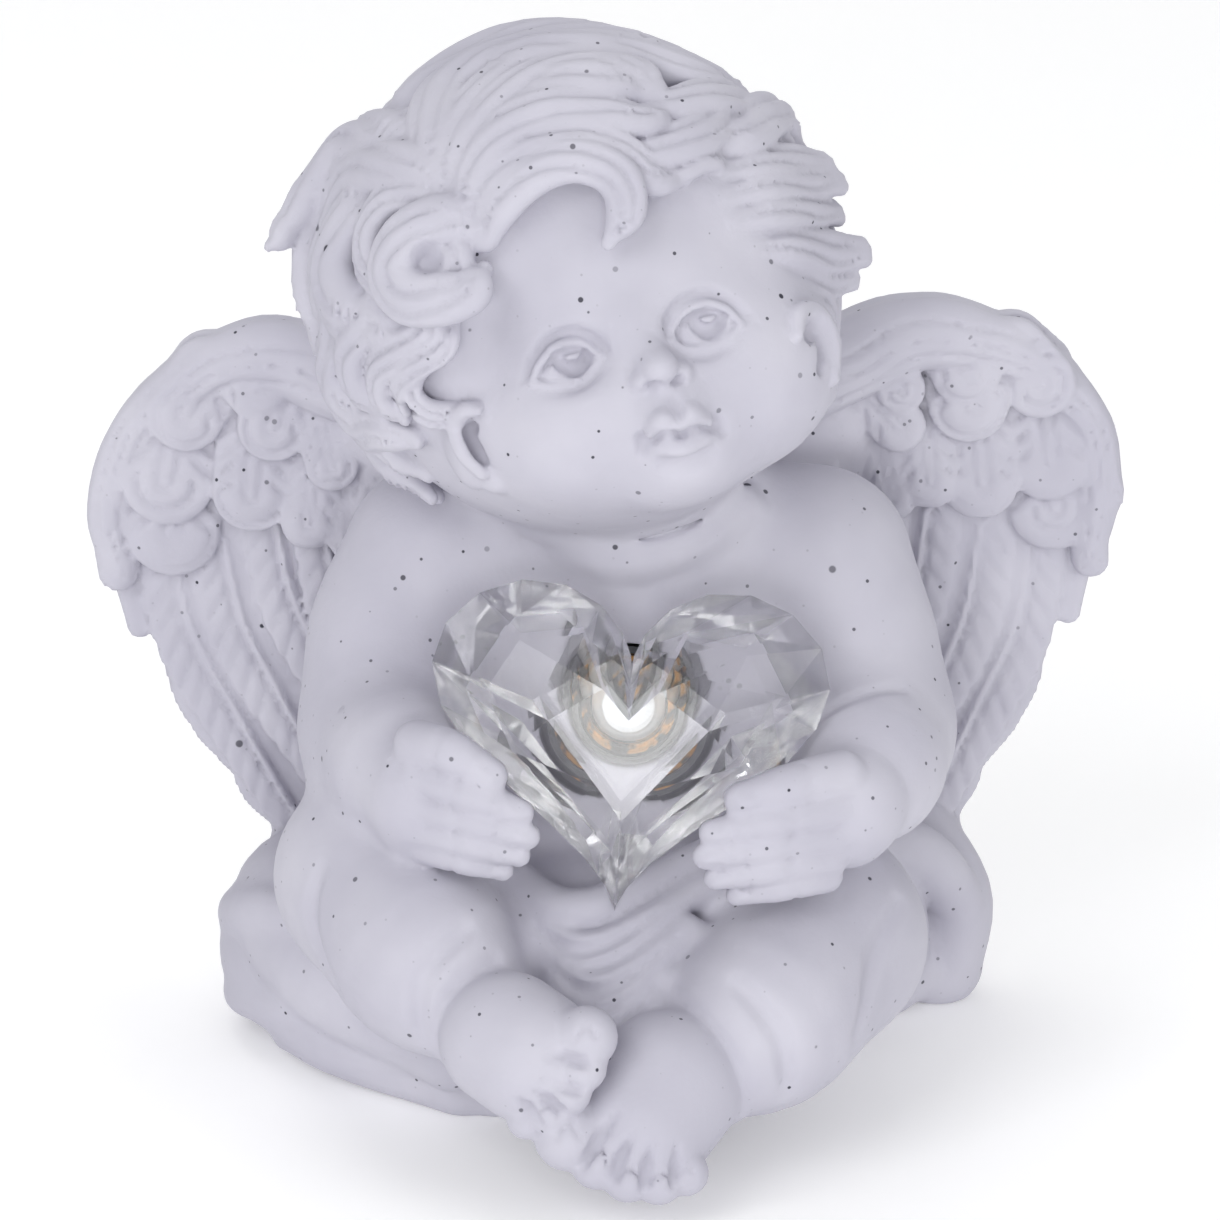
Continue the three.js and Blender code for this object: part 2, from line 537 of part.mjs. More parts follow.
function wing(clay, side) {
  const on = (pairs, lift) => pairs.map(([u, v]) => onWing(side, u, v, lift));
  clay.add(rope(on([[18, 60], [35, 64], [37, 45], [37, 27]], -1), [13, 18, 16, 9], { flat: 0.17 }), 3);
  clay.add(rope(on([[8, 60], [16, 66], [26, 72]], -1), [7, 6, 5]), 4);
  clay.add(rope([v3(14 * side, 13, 58), v3(20 * side, 14, 42), v3(25 * side, 16, 26)], [8, 8, 8]), 4);
  clay.add(rope(on([[26, 68], [36, 71], [46, 70], [53, 64]], 0.5), [7, 8.5, 8, 4], { flat: 0.28 }), 1);
  for (const [path, half] of LONG_FEATHERS)
    for (const lift of [0.8, -1.3]) {
      clay.add(rope(on(path, lift), [half, half * 1.05, half * 0.7], { flat: 0.45 }), 0.3);
    }
  for (const [rootU, rootV, tipU, tipV, width] of COVERTS[side]) {
    const high = 2.6 + 0.07 * (rootV - 60);
    const half = 1.15 * width;
    for (const [rootLift, tipLift] of [[high - 1.5, high], [-1.2 - 0.15 * high, -1.9 - 0.15 * high]]) {
      const path = [onWing(side, rootU, rootV, rootLift), onWing(side, tipU, tipV + half, tipLift)];
      clay.add(rope(path, [half * 0.9, half], { flat: 0.36 }), 0.2);
    }
  }
  clay.add(rope(on(LEADING_EDGE[side], 1.4), LEADING_EDGE_RADII, { flat: 0.95 }), 0.8);
}

// Head: modelled upright about its own centre, then turned a little, tipped back and leant to one side
const HEAD_CENTRE = v3(1.2, -4.5, 92.3);
const HEAD_TURN = new THREE.Euler(rad(-21), rad(-14), rad(6), "ZXY");
const onHead = (x, y, z) => v3(x, y, z).applyEuler(HEAD_TURN).add(HEAD_CENTRE);
const headEgg = (x, y, z, rx, ry, rz) => ellipsoid(onHead(x, y, z), v3(rx, ry, rz), HEAD_TURN);

const EYES = [
  { middle: [-9.6, -3.9], upper: [[-13.9, -4.6], [-12.3, -2.7], [-10.2, -1.3], [-7.7, -1.4], [-5.6, -3.8]],
    lower: [[-13.9, -5.3], [-11.4, -6.6], [-8.8, -6.6], [-5.8, -4.6]] },
  { middle: [6.1, -4.2], upper: [[1.8, -4.4], [2.8, -2.7], [4.4, -1.5], [6.8, -1.3], [9, -2.6], [10.8, -5]],
    lower: [[2.1, -5.2], [3.1, -6.6], [5.2, -7.2], [7.7, -7], [10, -5.6]] },
];
const EARS = [
  { middle: [-22, -8.5, -10], rim: [[-23.4, -7.2], [-22.2, -6], [-20.8, -7.2], [-20.4, -10], [-21.4, -13.2]],
    hollow: [[-22.7, -8.2], [-21.7, -9.5], [-22.2, -12]] },
  { middle: [18.6, -11.5, -10], rim: [[15.6, -7], [17.4, -5.6], [19.4, -7.2], [19.8, -10.4], [18, -14.2]],
    hollow: [[16.4, -8.6], [18, -9.6], [17, -12.6]] },
];

function face(clay) {
  clay.add(headEgg(0, 1, 2, 23, 24, 22.5));
  clay.add(headEgg(0, -5, -4.5, 19.8, 19, 18.2), 4);
  clay.add(headEgg(-1, -13, 9, 14, 9, 9), 6);
  for (const side of SIDES) clay.add(headEgg(10.3 * side, -12.6, -10.5, 9.8, 9.8, 9), 6);
  clay.add(headEgg(0.3, -15.5, -18, 7, 6, 4.6), 4);
  clay.add(headEgg(0, -20, -12.8, 5.5, 4.4, 4.6), 5);
  // The place where a line from in front of the face first meets the clay, at x and z on the head
  const ahead = onHead(0, 1, 0).sub(onHead(0, 0, 0));
  const onFace = (x, z, lift = 0) => clay.firstHit(onHead(x, -36, z), ahead).addScaledVector(ahead, -lift);
  const line = (places, lift) => places.map(([x, z]) => onFace(x, z, lift));
  for (const { middle, upper, lower } of EYES) {
    const ballCentre = onFace(...middle, -3.6);
    clay.cut(ellipsoid(onFace(...middle, 1.1), v3(4.7, 3, 3.2), HEAD_TURN), 2.2);
    clay.add(ellipsoid(ballCentre, v3(4.3, 3.4, 3.3), HEAD_TURN), 0.4);
    clay.add(rope(line(upper, 0.1), [0.5, 0.9, 1, 0.9, 0.5]), 0.4);
    clay.add(rope(line(lower, 0), [0.4, 0.8, 0.8, 0.4]), 0.5);
  }
  const bridge = [onHead(-1.8, -22.4, -1.5), onHead(-1.1, -24.2, -5), onHead(-0.7, -25.4, -7.4)];
  clay.add(rope(bridge, [1.5, 1.6, 1.9]), 3);
  clay.add(headEgg(-0.4, -26.4, -7.7, 2.3, 2.3, 2.1), 0.8);
  clay.add(headEgg(2.5, -24.6, -8.9, 1.6, 1.8, 1.5), 0.5);
  clay.add(headEgg(-3.1, -24.6, -8.5, 1.6, 1.8, 1.5), 0.5);
  clay.add(headEgg(0, -23.4, -12.2, 3.4, 2.2, 2.4), 1.8);
  // The mouth, with full lips, the line between them and a dimple at each corner
  const upperLip = line([[-3.4, -14], [-1.6, -13], [0, -13.3], [1.2, -13.1], [3.2, -14.4]], 0);
  clay.add(rope(upperLip, [0.7, 1.3, 1.2, 0.7]), 0.8);
  const lowerLip = line([[-2.7, -16.1], [-0.2, -16.8], [2.7, -16.5]], -0.2);
  clay.add(rope(lowerLip, [0.8, 1.3, 0.8]), 0.9);
  const between = line([[-4, -14.8], [-1.4, -14.7], [1.2, -14.8], [4, -15.3]], 0.1);
  clay.cut(rope(between, [0.6, 0.7, 0.7, 0.6]), 0.4);
  for (const [x, z] of [[-4.4, -15.2], [4.6, -15.6]]) clay.cut(ball(onFace(x, z, 0.1), 1.3), 1);
  // Ears: a low swelling with a rim bent round a hollow, partly under the hair
  for (const { middle, rim, hollow } of EARS) {
    clay.add(headEgg(...middle, 2.6, 4.2, 5), 1);
    clay.add(rope(line(rim, 0.2), [0.7, 1.1, 1.2, 1.1, 0.9]), 0.5);
    clay.cut(rope(line(hollow, 0.2), [0.9, 1.1, 0.9]), 0.5);
  }
}

// Hair: a cap that is open over the face, then wavy locks laid on it. A place on the scalp is an azimuth
// from straight ahead, toward the cherub's left, and a height, in degrees.
const SCALP_CENTRE = v3(-4, 1.5, 4);
const SCALP = v3(27, 26.5, 27);
function onScalp(azimuth, height, lift = 0) {
  const a = rad(azimuth), h = rad(height);
  const way = v3(Math.cos(h) * Math.sin(a), -Math.cos(h) * Math.cos(a), Math.sin(h));
  const reach = 1 / Math.hypot(way.x / SCALP.x, way.y / SCALP.y, way.z / SCALP.z);
  return onHead(...way.multiplyScalar(reach + lift).add(SCALP_CENTRE).toArray());
}
const outOfHead = (p) => p.clone().sub(HEAD_CENTRE);

function lock(clay, places, radii) {
  const path = places.map(([azimuth, height, lift = 0]) => onScalp(azimuth, height, lift));
  clay.add(rope(path, radii, { flat: 0.72, face: outOfHead }), 0.7);
}

function hair(clay) {
  const cap = headEgg(...SCALP_CENTRE, ...SCALP.clone().subScalar(0.4));
  const faceOpening = ball(onHead(-2, -34, -7), 24);
  clay.add({
    box: cap.box,
    distance: (x, y, z) => -smoothMin(-cap.distance(x, y, z), faceOpening.distance(x, y, z), 2),
  }, 1);
  // Rows of locks round the sides and back, each row from under the one above it
  const rows = [
    { height: 78, count: 8, from: 70, to: 300 },
    { height: 56, count: 12, from: 72, to: 290 },
    { height: 34, count: 14, from: 78, to: 284 },
    { height: 12, count: 14, from: 82, to: 280 },
    { height: -10, count: 12, from: 86, to: 276 },
  ];
  rows.forEach((row, r) => {
    for (let i = 0; i < row.count; i++) {
      const azimuth = row.from + ((row.to - row.from) * (i + 0.5 * (r % 2))) / row.count;
      const sway = (i + r) % 3 ? 7 : -7;
      lock(clay, [
        [azimuth, row.height + 8, -1],
        [azimuth + sway, row.height - 4, 0.4],
        [azimuth - 0.3 * sway, row.height - 15, 0.8],
        [azimuth + 0.8 * sway, row.height - 27, 1.2],
      ], [2.2, 3.5, 3.4, 1.2]);
    }
  });
  // The crown, from the parting over to the far side, then the bands that sweep over the forehead
  const crown = [
      [[[-85, 50, 0], [-84, 68, 1.2], [-30, 84, 1.6], [60, 76, 1.4], [77, 52, 0.8], [80, 38, 0]],
       [2.5, 4, 4.4, 4.2, 3.6, 2]],
      [[[-60, 56, 0], [-40, 72, 0.6], [30, 72, 1], [56, 58, 1.2], [62, 44, 0.6]], [2, 4, 4.4, 4, 2]],
      [[[-20, 60, -0.4], [10, 60, 0.4], [34, 54, 0.4], [52, 44, 0.2]], [3, 4.4, 4.4, 3]],
      [[[-33, 30, 0], [-36, 45, 0.8], [-43, 62, 1], [-20, 72, 1.2], [40, 62, 1.2], [64, 50, 1]],
       [2.4, 4, 4.2, 4, 3.8, 2.4]],
      [[[-31, 28, 0], [-29, 40, 1], [-20, 54, 1.2], [10, 63, 1.4], [44, 55, 1.6], [60, 42, 1.6],
        [78, 30, 1.2]],
       [2.4, 3.6, 3.6, 3.4, 3.4, 3.2, 2]],
      [[[-30, 24, 0], [-25, 36, 1.2], [-16, 46, 1.8], [0, 53, 2], [20, 52, 2.1], [33, 46, 2.2],
        [34, 41, 1.8]],
       [2, 3, 3.3, 3.2, 3, 2.8, 2.2]],
      [[[26, 38, 0.4], [37, 35, 1.6], [50, 34, 2], [66, 33, 1.6], [78, 30, 1]], [2, 2.6, 3, 2.8, 1.6]],
      [[[-28, 20, 0.2], [-23, 32, 1.4], [-13, 39, 2], [1, 41, 2.3], [14, 36, 2.3], [24, 32, 2.2],
        [34, 34, 1.4]],
       [2, 3, 3.4, 3.2, 3, 2.4, 1.2]],
      [[[12, 27, 0.4], [24, 24, 1.6], [36, 25, 2], [50, 29, 1.4], [60, 31, 0.6]], [1.8, 2.6, 2.8, 2.4, 1.4]],
      [[[-27, 19, 0], [-19, 28, 1.4], [-7, 32, 2], [6, 31, 2.2], [14, 25, 2.2], [19, 18, 1.8],
        [28, 17, 0.8]],
       [2, 2.8, 3, 2.9, 2.6, 2.2, 1.1]],
      [[[18, 21, 0.4], [27, 19, 1.4], [35, 20, 1.6], [42, 17, 0.8]], [1.3, 1.9, 2, 1.1]],
      [[[-24, 17, 0], [-16, 23, 1.6], [-5, 26.5, 2.6], [4, 25, 3], [10, 19, 3.2], [9.5, 12, 3.2],
        [4, 6.5, 1.6]],
       [2, 2.7, 2.8, 2.7, 2.6, 2.3, 0.9]],
  ];
  // The cherub's left temple: a blunt lock, the fan, the flick over the ear, and wisps in front of it
  const leftTemple = [
      [[[42, 24, 0.6], [54, 23, 1.6], [68, 26, 2.4], [80, 25, 3.2], [82, 18, 2.6]], [2.2, 3, 3.2, 3, 2]],
      [[[40, 17, 0.4], [54, 15, 1.6], [68, 14, 2.4], [81, 11, 4.6]], [1.6, 2.3, 2.4, 1.8]],
      [[[38, 11, 0.2], [52, 10, 1.6], [68, 9, 2.4], [82, 7, 5]], [1.6, 2.2, 2.3, 1.8]],
      [[[38, 5, 0], [51, 4, 1.4], [67, 3, 2], [82, 1, 3.6]], [1.5, 2.2, 2.3, 1.7]],
      [[[42, -2, 0], [54, -5, 1.4], [70, -7, 2.2], [82, -8, 5.6]], [1.5, 2.4, 2.7, 1.9]],
      [[[44, -7, -0.2], [55, -11, 1], [72, -13, 1.8], [82, -13, 4.2]], [1.3, 2.1, 2.3, 1.6]],
      [[[46, -11, -0.6], [50, -17, 0.4], [51, -24, 0]], [1, 1.5, 0.9]],
      [[[58, -14, 0], [70, -18, 1.4], [80, -24, 1.6], [82, -33, 0.6]], [1.6, 2.4, 2.3, 1.4]],
  ];
  // The cherub's right side: the outer flick, two long locks, the curl round its hole, and the side locks
  const rightSide = [
      [[[-44, 42, 0], [-70, 50, 1.2], [-90, 48, 3], [-92, 36, 4.8], [-92, 27, 6.6], [-92, 23, 8.2]],
       [3, 4.4, 4.6, 4.2, 3.2, 1.3]],
      [[[-42, 38, 0], [-70, 46, 1.2], [-94, 44, 2.6], [-104, 34, 3.2]], [3, 4.2, 4.2, 2.4]],
      [[[-86, 46, 2], [-95, 33, 3.4], [-97, 19, 3.2], [-95, 5, 2.4]], [3, 3.6, 3.2, 1.8]],
      [[[-31, 28, 0], [-40, 36, 1.2], [-54, 40, 1.8], [-74, 42, 1.8], [-88, 34, 2],
        [-92, 22, 1.8], [-80, 10, 1.4]],
       [2.2, 3.2, 3.4, 3.4, 3.3, 3.2, 2]],
      [[[-60, 34, 0.4], [-74, 30, 1], [-78, 20, 1.2], [-70, 10, 1.2], [-62, 4, 0.8]], [2, 3, 3.2, 3, 2]],
      [[[-31, 25, 0.2], [-40, 31, 1.4], [-50, 31, 2], [-57, 25, 2], [-57, 18, 1.8],
        [-51, 12, 1.6], [-44, 5, 1.4],
        [-38, 1, 0.6]], [1.8, 2.3, 2.4, 2.4, 2.3, 2.2, 2, 1.2]],
      [[[-40, 20, 0], [-35, 14, 0.4], [-32, 9, 0.2]], [3, 3.4, 2.4]],
      [[[-25, 20, 0.4], [-35, 22.5, 1.8], [-43, 19.5, 2.6], [-47, 14, 2.8], [-44, 8, 2.8], [-36.5, 5, 2.6],
        [-29, 4.5, 2], [-25.5, 8.5, 0.8]], [2, 3.1, 3.4, 3.4, 3.3, 3.1, 2.6, 1.2]],
      [[[-50, 8, 0], [-60, 6, 1.2], [-70, 1, 1.6], [-74, -6, 1.4], [-71, -13, 0.8]], [1.8, 3, 3.2, 3, 1.8]],
      [[[-38, 3, 0], [-43, -1, 1.4], [-52, -3, 1.8], [-61, -6, 1.8], [-66, -12, 1.4], [-64, -18, 0.6]],
       [1.2, 1.9, 2.2, 2.2, 2, 1.1]],
      [[[-37, 0, 0], [-40, -5, 1.2], [-49, -7, 1.8], [-56, -10, 1.6], [-60, -16, 1]],
        [1.1, 1.8, 2, 1.9, 1.1]],
      [[[-71, 8, 0], [-86, 1, 1.6], [-94, -7, 1.8], [-90, -15, 1.4], [-76, -19, 1], [-66, -24, 0.4]],
       [2.2, 3.2, 3.4, 3.2, 2.6, 1.4]],
      [[[-42, -6, 0.2], [-50, -8, 1.2], [-55, -13, 1.4], [-52, -19, 1.2], [-40, -21.5, 0]],
       [1, 1.7, 1.9, 1.8, 0.8]],
      [[[-84, -4, 0], [-88, -14, 1], [-86, -24, 0.8], [-84, -34, 0]], [2, 3, 2.6, 1.2]],
  ];
  for (const [places, radii] of [...crown, ...leftTemple, ...rightSide]) lock(clay, places, radii);
  clay.cut(ball(onScalp(-36, 14, 3.4), 1.9), 1);
}

// The heart-shaped crystal: rings of facets from a thin girdle to a flat table, the same behind as in front
function heartRing(count, share, depth) {
  const ring = [];
  for (let i = 0; i < count; i++) {
    const t = (2 * Math.PI * i) / count;
    const x = (16 * Math.sin(t) ** 3 * HEART_WIDTH) / 32;
    const high = 13 * Math.cos(t) - 5 * Math.cos(2 * t) - 2 * Math.cos(3 * t) - Math.cos(4 * t);
    const z = ((high + 2.5) * HEART_HEIGHT) / 29;
    ring.push({ t, at: v3(x * share, depth, z * share) });
  }
  return ring;
}

function stitch(points, triangles, from, to) {
  let i = 0, j = 0;
  while (i < from.length || j < to.length) {
    const nextI = i < from.length ? (i + 1) / from.length : Infinity;
    const nextJ = j < to.length ? (j + 1) / to.length : Infinity;
    const a = from[i % from.length].id, b = to[j % to.length].id;
    if (nextI <= nextJ) {
      i++;
      triangles.push(a, from[i % from.length].id, b);
    } else {
      j++;
      triangles.push(a, to[j % to.length].id, b);
    }
  }
}

const GIRDLE = 0.8;
function heartSolid(grow = 0) {
  const half = HEART_THICKNESS / 2 + grow;
  const wide = 1 + (2 * grow) / HEART_WIDTH;
  const rings = [
    heartRing(8, 0.4 * wide, -half), heartRing(16, 0.72 * wide, -half * 0.62),
    heartRing(32, wide, -GIRDLE / 2 - grow), heartRing(32, wide, GIRDLE / 2 + grow),
    heartRing(16, 0.72 * wide, half * 0.62), heartRing(8, 0.4 * wide, half),
  ];
  const points = [], triangles = [];
  const keep = (p) => points.push(p.x, p.y, p.z) / 3 - 1;
  for (const ring of rings) for (const place of ring) place.id = keep(place.at);
  for (let i = 0; i < rings.length - 1; i++) stitch(points, triangles, rings[i], rings[i + 1]);
  const front = [{ id: keep(v3(0, -half, 0)) }], back = [{ id: keep(v3(0, half, 0)) }];
  const fan = (hub, ring, flip) => ring.forEach((place, i) => {
    const next = ring[(i + 1) % ring.length];
    triangles.push(...(flip ? [hub.id, next.id, place.id] : [hub.id, place.id, next.id]));
  });
  fan(front[0], rings[0], true);
  fan(back[0], rings[5], false);
  return solidOf(points, triangles);
}

// Heart and lamp stand on one axis, which leans back; the figure is cut to seat both
const HEART_PLACE = new THREE.Matrix4().compose(
  heartCentre.clone().multiplyScalar(SCALE),
  new THREE.Quaternion().setFromEuler(new THREE.Euler(rad(-HEART_LEAN_DEG), rad(4), 0)),
  v3(1, 1, 1));

function lathe(profile) {
  const shape = new THREE.LatheGeometry(profile.map(([r, y]) => new THREE.Vector2(r, y)), 32);
  const whole = mergeVertices(shape.deleteAttribute("uv").deleteAttribute("normal"), 1e-4);
  return solidOf(Array.from(whole.attributes.position.array), Array.from(whole.index.array));
}

const place = (solid, matrix) => solid.transform(matrix.elements);
const LAMP_PLACE = HEART_PLACE.clone().multiply(new THREE.Matrix4().makeTranslation(0, 0, LAMP_RAISE));
const LAMP_WALL = 0.8;
const LAMP_FRONT = HEART_THICKNESS / 2 + SEAT_GAP;
const LAMP_BACK = LAMP_FRONT + LAMP_DEPTH;
const lampRadius = LAMP_DIAMETER / 2;
const lensRadius = LAMP_LENS_DIAMETER / 2;
const skirtRadius = LAMP_SKIRT_DIAMETER / 2;
const cupInside = lampRadius - LAMP_WALL;
const cupFloor = LAMP_BACK - LAMP_WALL;
const lampSeat = cupFloor - SEAT_GAP;
const lampParts = {
  lamp_cup: [
    [0, LAMP_BACK], [lampRadius, LAMP_BACK], [lampRadius, LAMP_FRONT], [cupInside, LAMP_FRONT],
    [cupInside, cupFloor], [0, cupFloor],
  ],
  lamp_ring: [
    [skirtRadius + SEAT_GAP, lampSeat], [cupInside - SEAT_GAP, lampSeat],
    [cupInside - SEAT_GAP, LAMP_FRONT + 1], [skirtRadius + SEAT_GAP, LAMP_FRONT + 2],
    [skirtRadius + SEAT_GAP, lampSeat],
  ],
  lamp_lens: [
    [0, lampSeat], [skirtRadius, lampSeat], [skirtRadius, lampSeat - 0.7], [lensRadius, lampSeat - 2],
    [lensRadius, LAMP_FRONT + 2.6], [lensRadius * 0.9, LAMP_FRONT + 1.3],
    [lensRadius * 0.6, LAMP_FRONT + 0.5], [0, LAMP_FRONT + 0.1],
  ],
};

// Where the thinning keeps more of the triangles, and the block that the underside is cut flat with
const FACE = { front: -10, chin: 70, care: 4 };
const HANDS_AND_FEET = { front: -26, care: 3 };
const GROUND_WIDTH = 3 * FIGURE_HEIGHT;
const GROUND_DEPTH = FIGURE_HEIGHT;
function figureSolid() {
  const clay = new Clay(v3(-70, -58, -3), v3(66, 48, 134), GRID_STEP);
  body(clay);
  cloth(clay);
  legs(clay);
  feet(clay);
  for (const side of SIDES) wing(clay, side);
  arms(clay);
  hands(clay);
  face(clay);
  hair(clay);
  const careAt = (x, y, z) => {
    if (y < FACE.front && z > FACE.chin) return FACE.care;
    return y < HANDS_AND_FEET.front ? HANDS_AND_FEET.care : 1;
  };
  const thin = thinOut(skin(clay), FIGURE_TRIANGLES, careAt);
  const cast = solidOf(thin.points, thin.triangles).scale([SCALE, SCALE, SCALE]);
  const ground = new THREE.BoxGeometry(GROUND_WIDTH, GROUND_WIDTH, GROUND_DEPTH);
  const below = solidOfGeometry(ground.translate(0, 0, -GROUND_DEPTH / 2));
  const pocket = lathe([[0, 0], [lampRadius + SEAT_GAP, 0], [lampRadius + SEAT_GAP, LAMP_BACK + SEAT_GAP],
    [0, LAMP_BACK + SEAT_GAP]]);
  const seat = place(heartSolid(SEAT_GAP), HEART_PLACE);
  const cut = cast.subtract(below).subtract(seat).subtract(place(pocket, LAMP_PLACE));
  return cut.decompose().sort((a, b) => b.volume() - a.volume())[0];
}

function solidOfGeometry(geometry) {
  const whole = mergeVertices(geometry.deleteAttribute("uv").deleteAttribute("normal"), 1e-4);
  return solidOf(Array.from(whole.attributes.position.array), Array.from(whole.index.array));
}

function geometryOf(solid) {
  const { numProp, vertProperties, triVerts } = solid.getMesh();
  const geometry = new THREE.BufferGeometry();
  geometry.setAttribute("position", new THREE.BufferAttribute(vertProperties.slice(), numProp));
  geometry.setIndex(new THREE.BufferAttribute(triVerts.slice(), 1));
  geometry.computeVertexNormals();
  return geometry;
}

const finish = {
  resin: { color: 0xc9c8d3, roughness: 0.72, metalness: 0 },
  crystal: { color: 0xf2f4f7, roughness: 0.02, metalness: 0, transparent: true, opacity: 0.35 },
  darkPlastic: { color: 0x55535c, roughness: 0.45, metalness: 0 },
  amber: { color: 0xc08a3e, roughness: 0.35, metalness: 0.1 },
  frosted: { color: 0xe8eef4, roughness: 0.5, metalness: 0 },
};

const angel = new THREE.Group();
function addPiece(name, solid, look) {
  const mesh = new THREE.Mesh(geometryOf(solid), new THREE.MeshStandardMaterial(finish[look]));
  mesh.name = name;
  angel.add(mesh);
}
addPiece("figure", figureSolid(), "resin");
addPiece("heart_crystal", place(heartSolid(), HEART_PLACE), "crystal");
addPiece("lamp_cup", place(lathe(lampParts.lamp_cup), LAMP_PLACE), "darkPlastic");
addPiece("lamp_ring", place(lathe(lampParts.lamp_ring), LAMP_PLACE), "amber");
addPiece("lamp_lens", place(lathe(lampParts.lamp_lens), LAMP_PLACE), "frosted");

export default angel;
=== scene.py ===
import math
import bpy
import numpy as np
import openvdb
from mathutils import Matrix, Vector


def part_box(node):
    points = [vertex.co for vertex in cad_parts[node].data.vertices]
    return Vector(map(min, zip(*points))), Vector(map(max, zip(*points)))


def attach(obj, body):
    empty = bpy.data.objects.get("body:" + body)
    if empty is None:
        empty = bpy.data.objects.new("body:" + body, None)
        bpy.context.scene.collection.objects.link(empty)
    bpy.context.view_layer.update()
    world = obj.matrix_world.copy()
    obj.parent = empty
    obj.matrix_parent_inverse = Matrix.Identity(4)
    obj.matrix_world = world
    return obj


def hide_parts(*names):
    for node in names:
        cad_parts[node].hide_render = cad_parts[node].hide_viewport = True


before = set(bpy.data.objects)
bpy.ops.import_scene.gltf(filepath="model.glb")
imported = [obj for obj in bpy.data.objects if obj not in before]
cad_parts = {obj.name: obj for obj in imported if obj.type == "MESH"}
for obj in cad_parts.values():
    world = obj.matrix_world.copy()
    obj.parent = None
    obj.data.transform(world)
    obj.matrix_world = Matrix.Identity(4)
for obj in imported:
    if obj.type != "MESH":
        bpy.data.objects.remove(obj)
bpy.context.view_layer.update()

# The cherub: one casting of pale, finely speckled resin, flat underneath, with a seat in front for the
# heart and its lamp. It is sculpted here as clay in millimetres, then cast as one mesh. -X is the
# cherub's right side, on the left of its picture, and it faces -Y.
FAR = 6.0
MARGIN = 1.3
FINE = 0.36
COARSE = 0.5
FACES = 196000
SIDES = (-1, 1)
# Lines that look for the clay's surface start at these y, in front of it, and go on for SKIN_REACH
BEFORE_FEET = -60
BEFORE_LAP = -55
BEFORE_CHEST = -35
BEFORE_FACE = -36
SKIN_REACH = 40
SKIN_STEP = 0.2


def vec(x, y, z):
    return np.array((x, y, z), dtype=float)


def marks(low, high, fine_low, fine_high):
    """Places along one axis, close together between the two fine marks."""
    before = np.arange(low, fine_low, COARSE)
    middle = np.arange(fine_low, fine_high, FINE)
    after = np.arange(fine_high, high, COARSE)
    return np.concatenate((before, middle, after)).astype(np.float32)


def smooth_min(a, b, blend):
    if blend <= 0:
        return np.minimum(a, b)
    overlap = np.maximum(blend - np.abs(a - b), 0) / blend
    return np.minimum(a, b) - overlap * overlap * (blend / 4)


def oval(side, up, wide, thin):
    """Roughly the distance to an oval, from offsets along its two axes."""
    k0 = np.hypot(side / wide, up / thin)
    k1 = np.hypot(side / wide ** 2, up / thin ** 2)
    return k0 * (k0 - 1) / np.maximum(k1, 1e-6)


def along_curve(points, radii, pieces):
    """A smooth curve through the points: places on it, and its radius at each."""
    p = [np.asarray(q, dtype=float) for q in points]
    p = [2 * p[0] - p[1]] + p + [2 * p[-1] - p[-2]]
    places = []
    for i in range(len(points) - 1):
        a, b, c, d = p[i:i + 4]
        ta, tb, tc = (max(np.linalg.norm(v - u) ** 0.5, 1e-4) for u, v in ((a, b), (b, c), (c, d)))
        start = ((b - a) / ta - (c - a) / (ta + tb) + (c - b) / tb) * tb
        end = ((c - b) / tb - (d - b) / (tb + tc) + (d - c) / tc) * tb
        for s in range(pieces + (i == len(points) - 2)):
            t = s / pieces
            places.append(b + start * t + (3 * c - 3 * b - 2 * start - end) * t ** 2
                          + (2 * b - 2 * c + start + end) * t ** 3)
    width = []
    for k in range(len(places)):
        s = k / (len(places) - 1) * (len(radii) - 1)
        j = min(int(s), len(radii) - 2)
        u = s - j
        width.append(radii[j] + (radii[j + 1] - radii[j]) * u * u * (3 - 2 * u))
    return np.array(places), np.array(width)


BACK = vec(0, 1, 0)


def forward(place):
    return vec(0, -1, 0)


def backward(place):
    return BACK


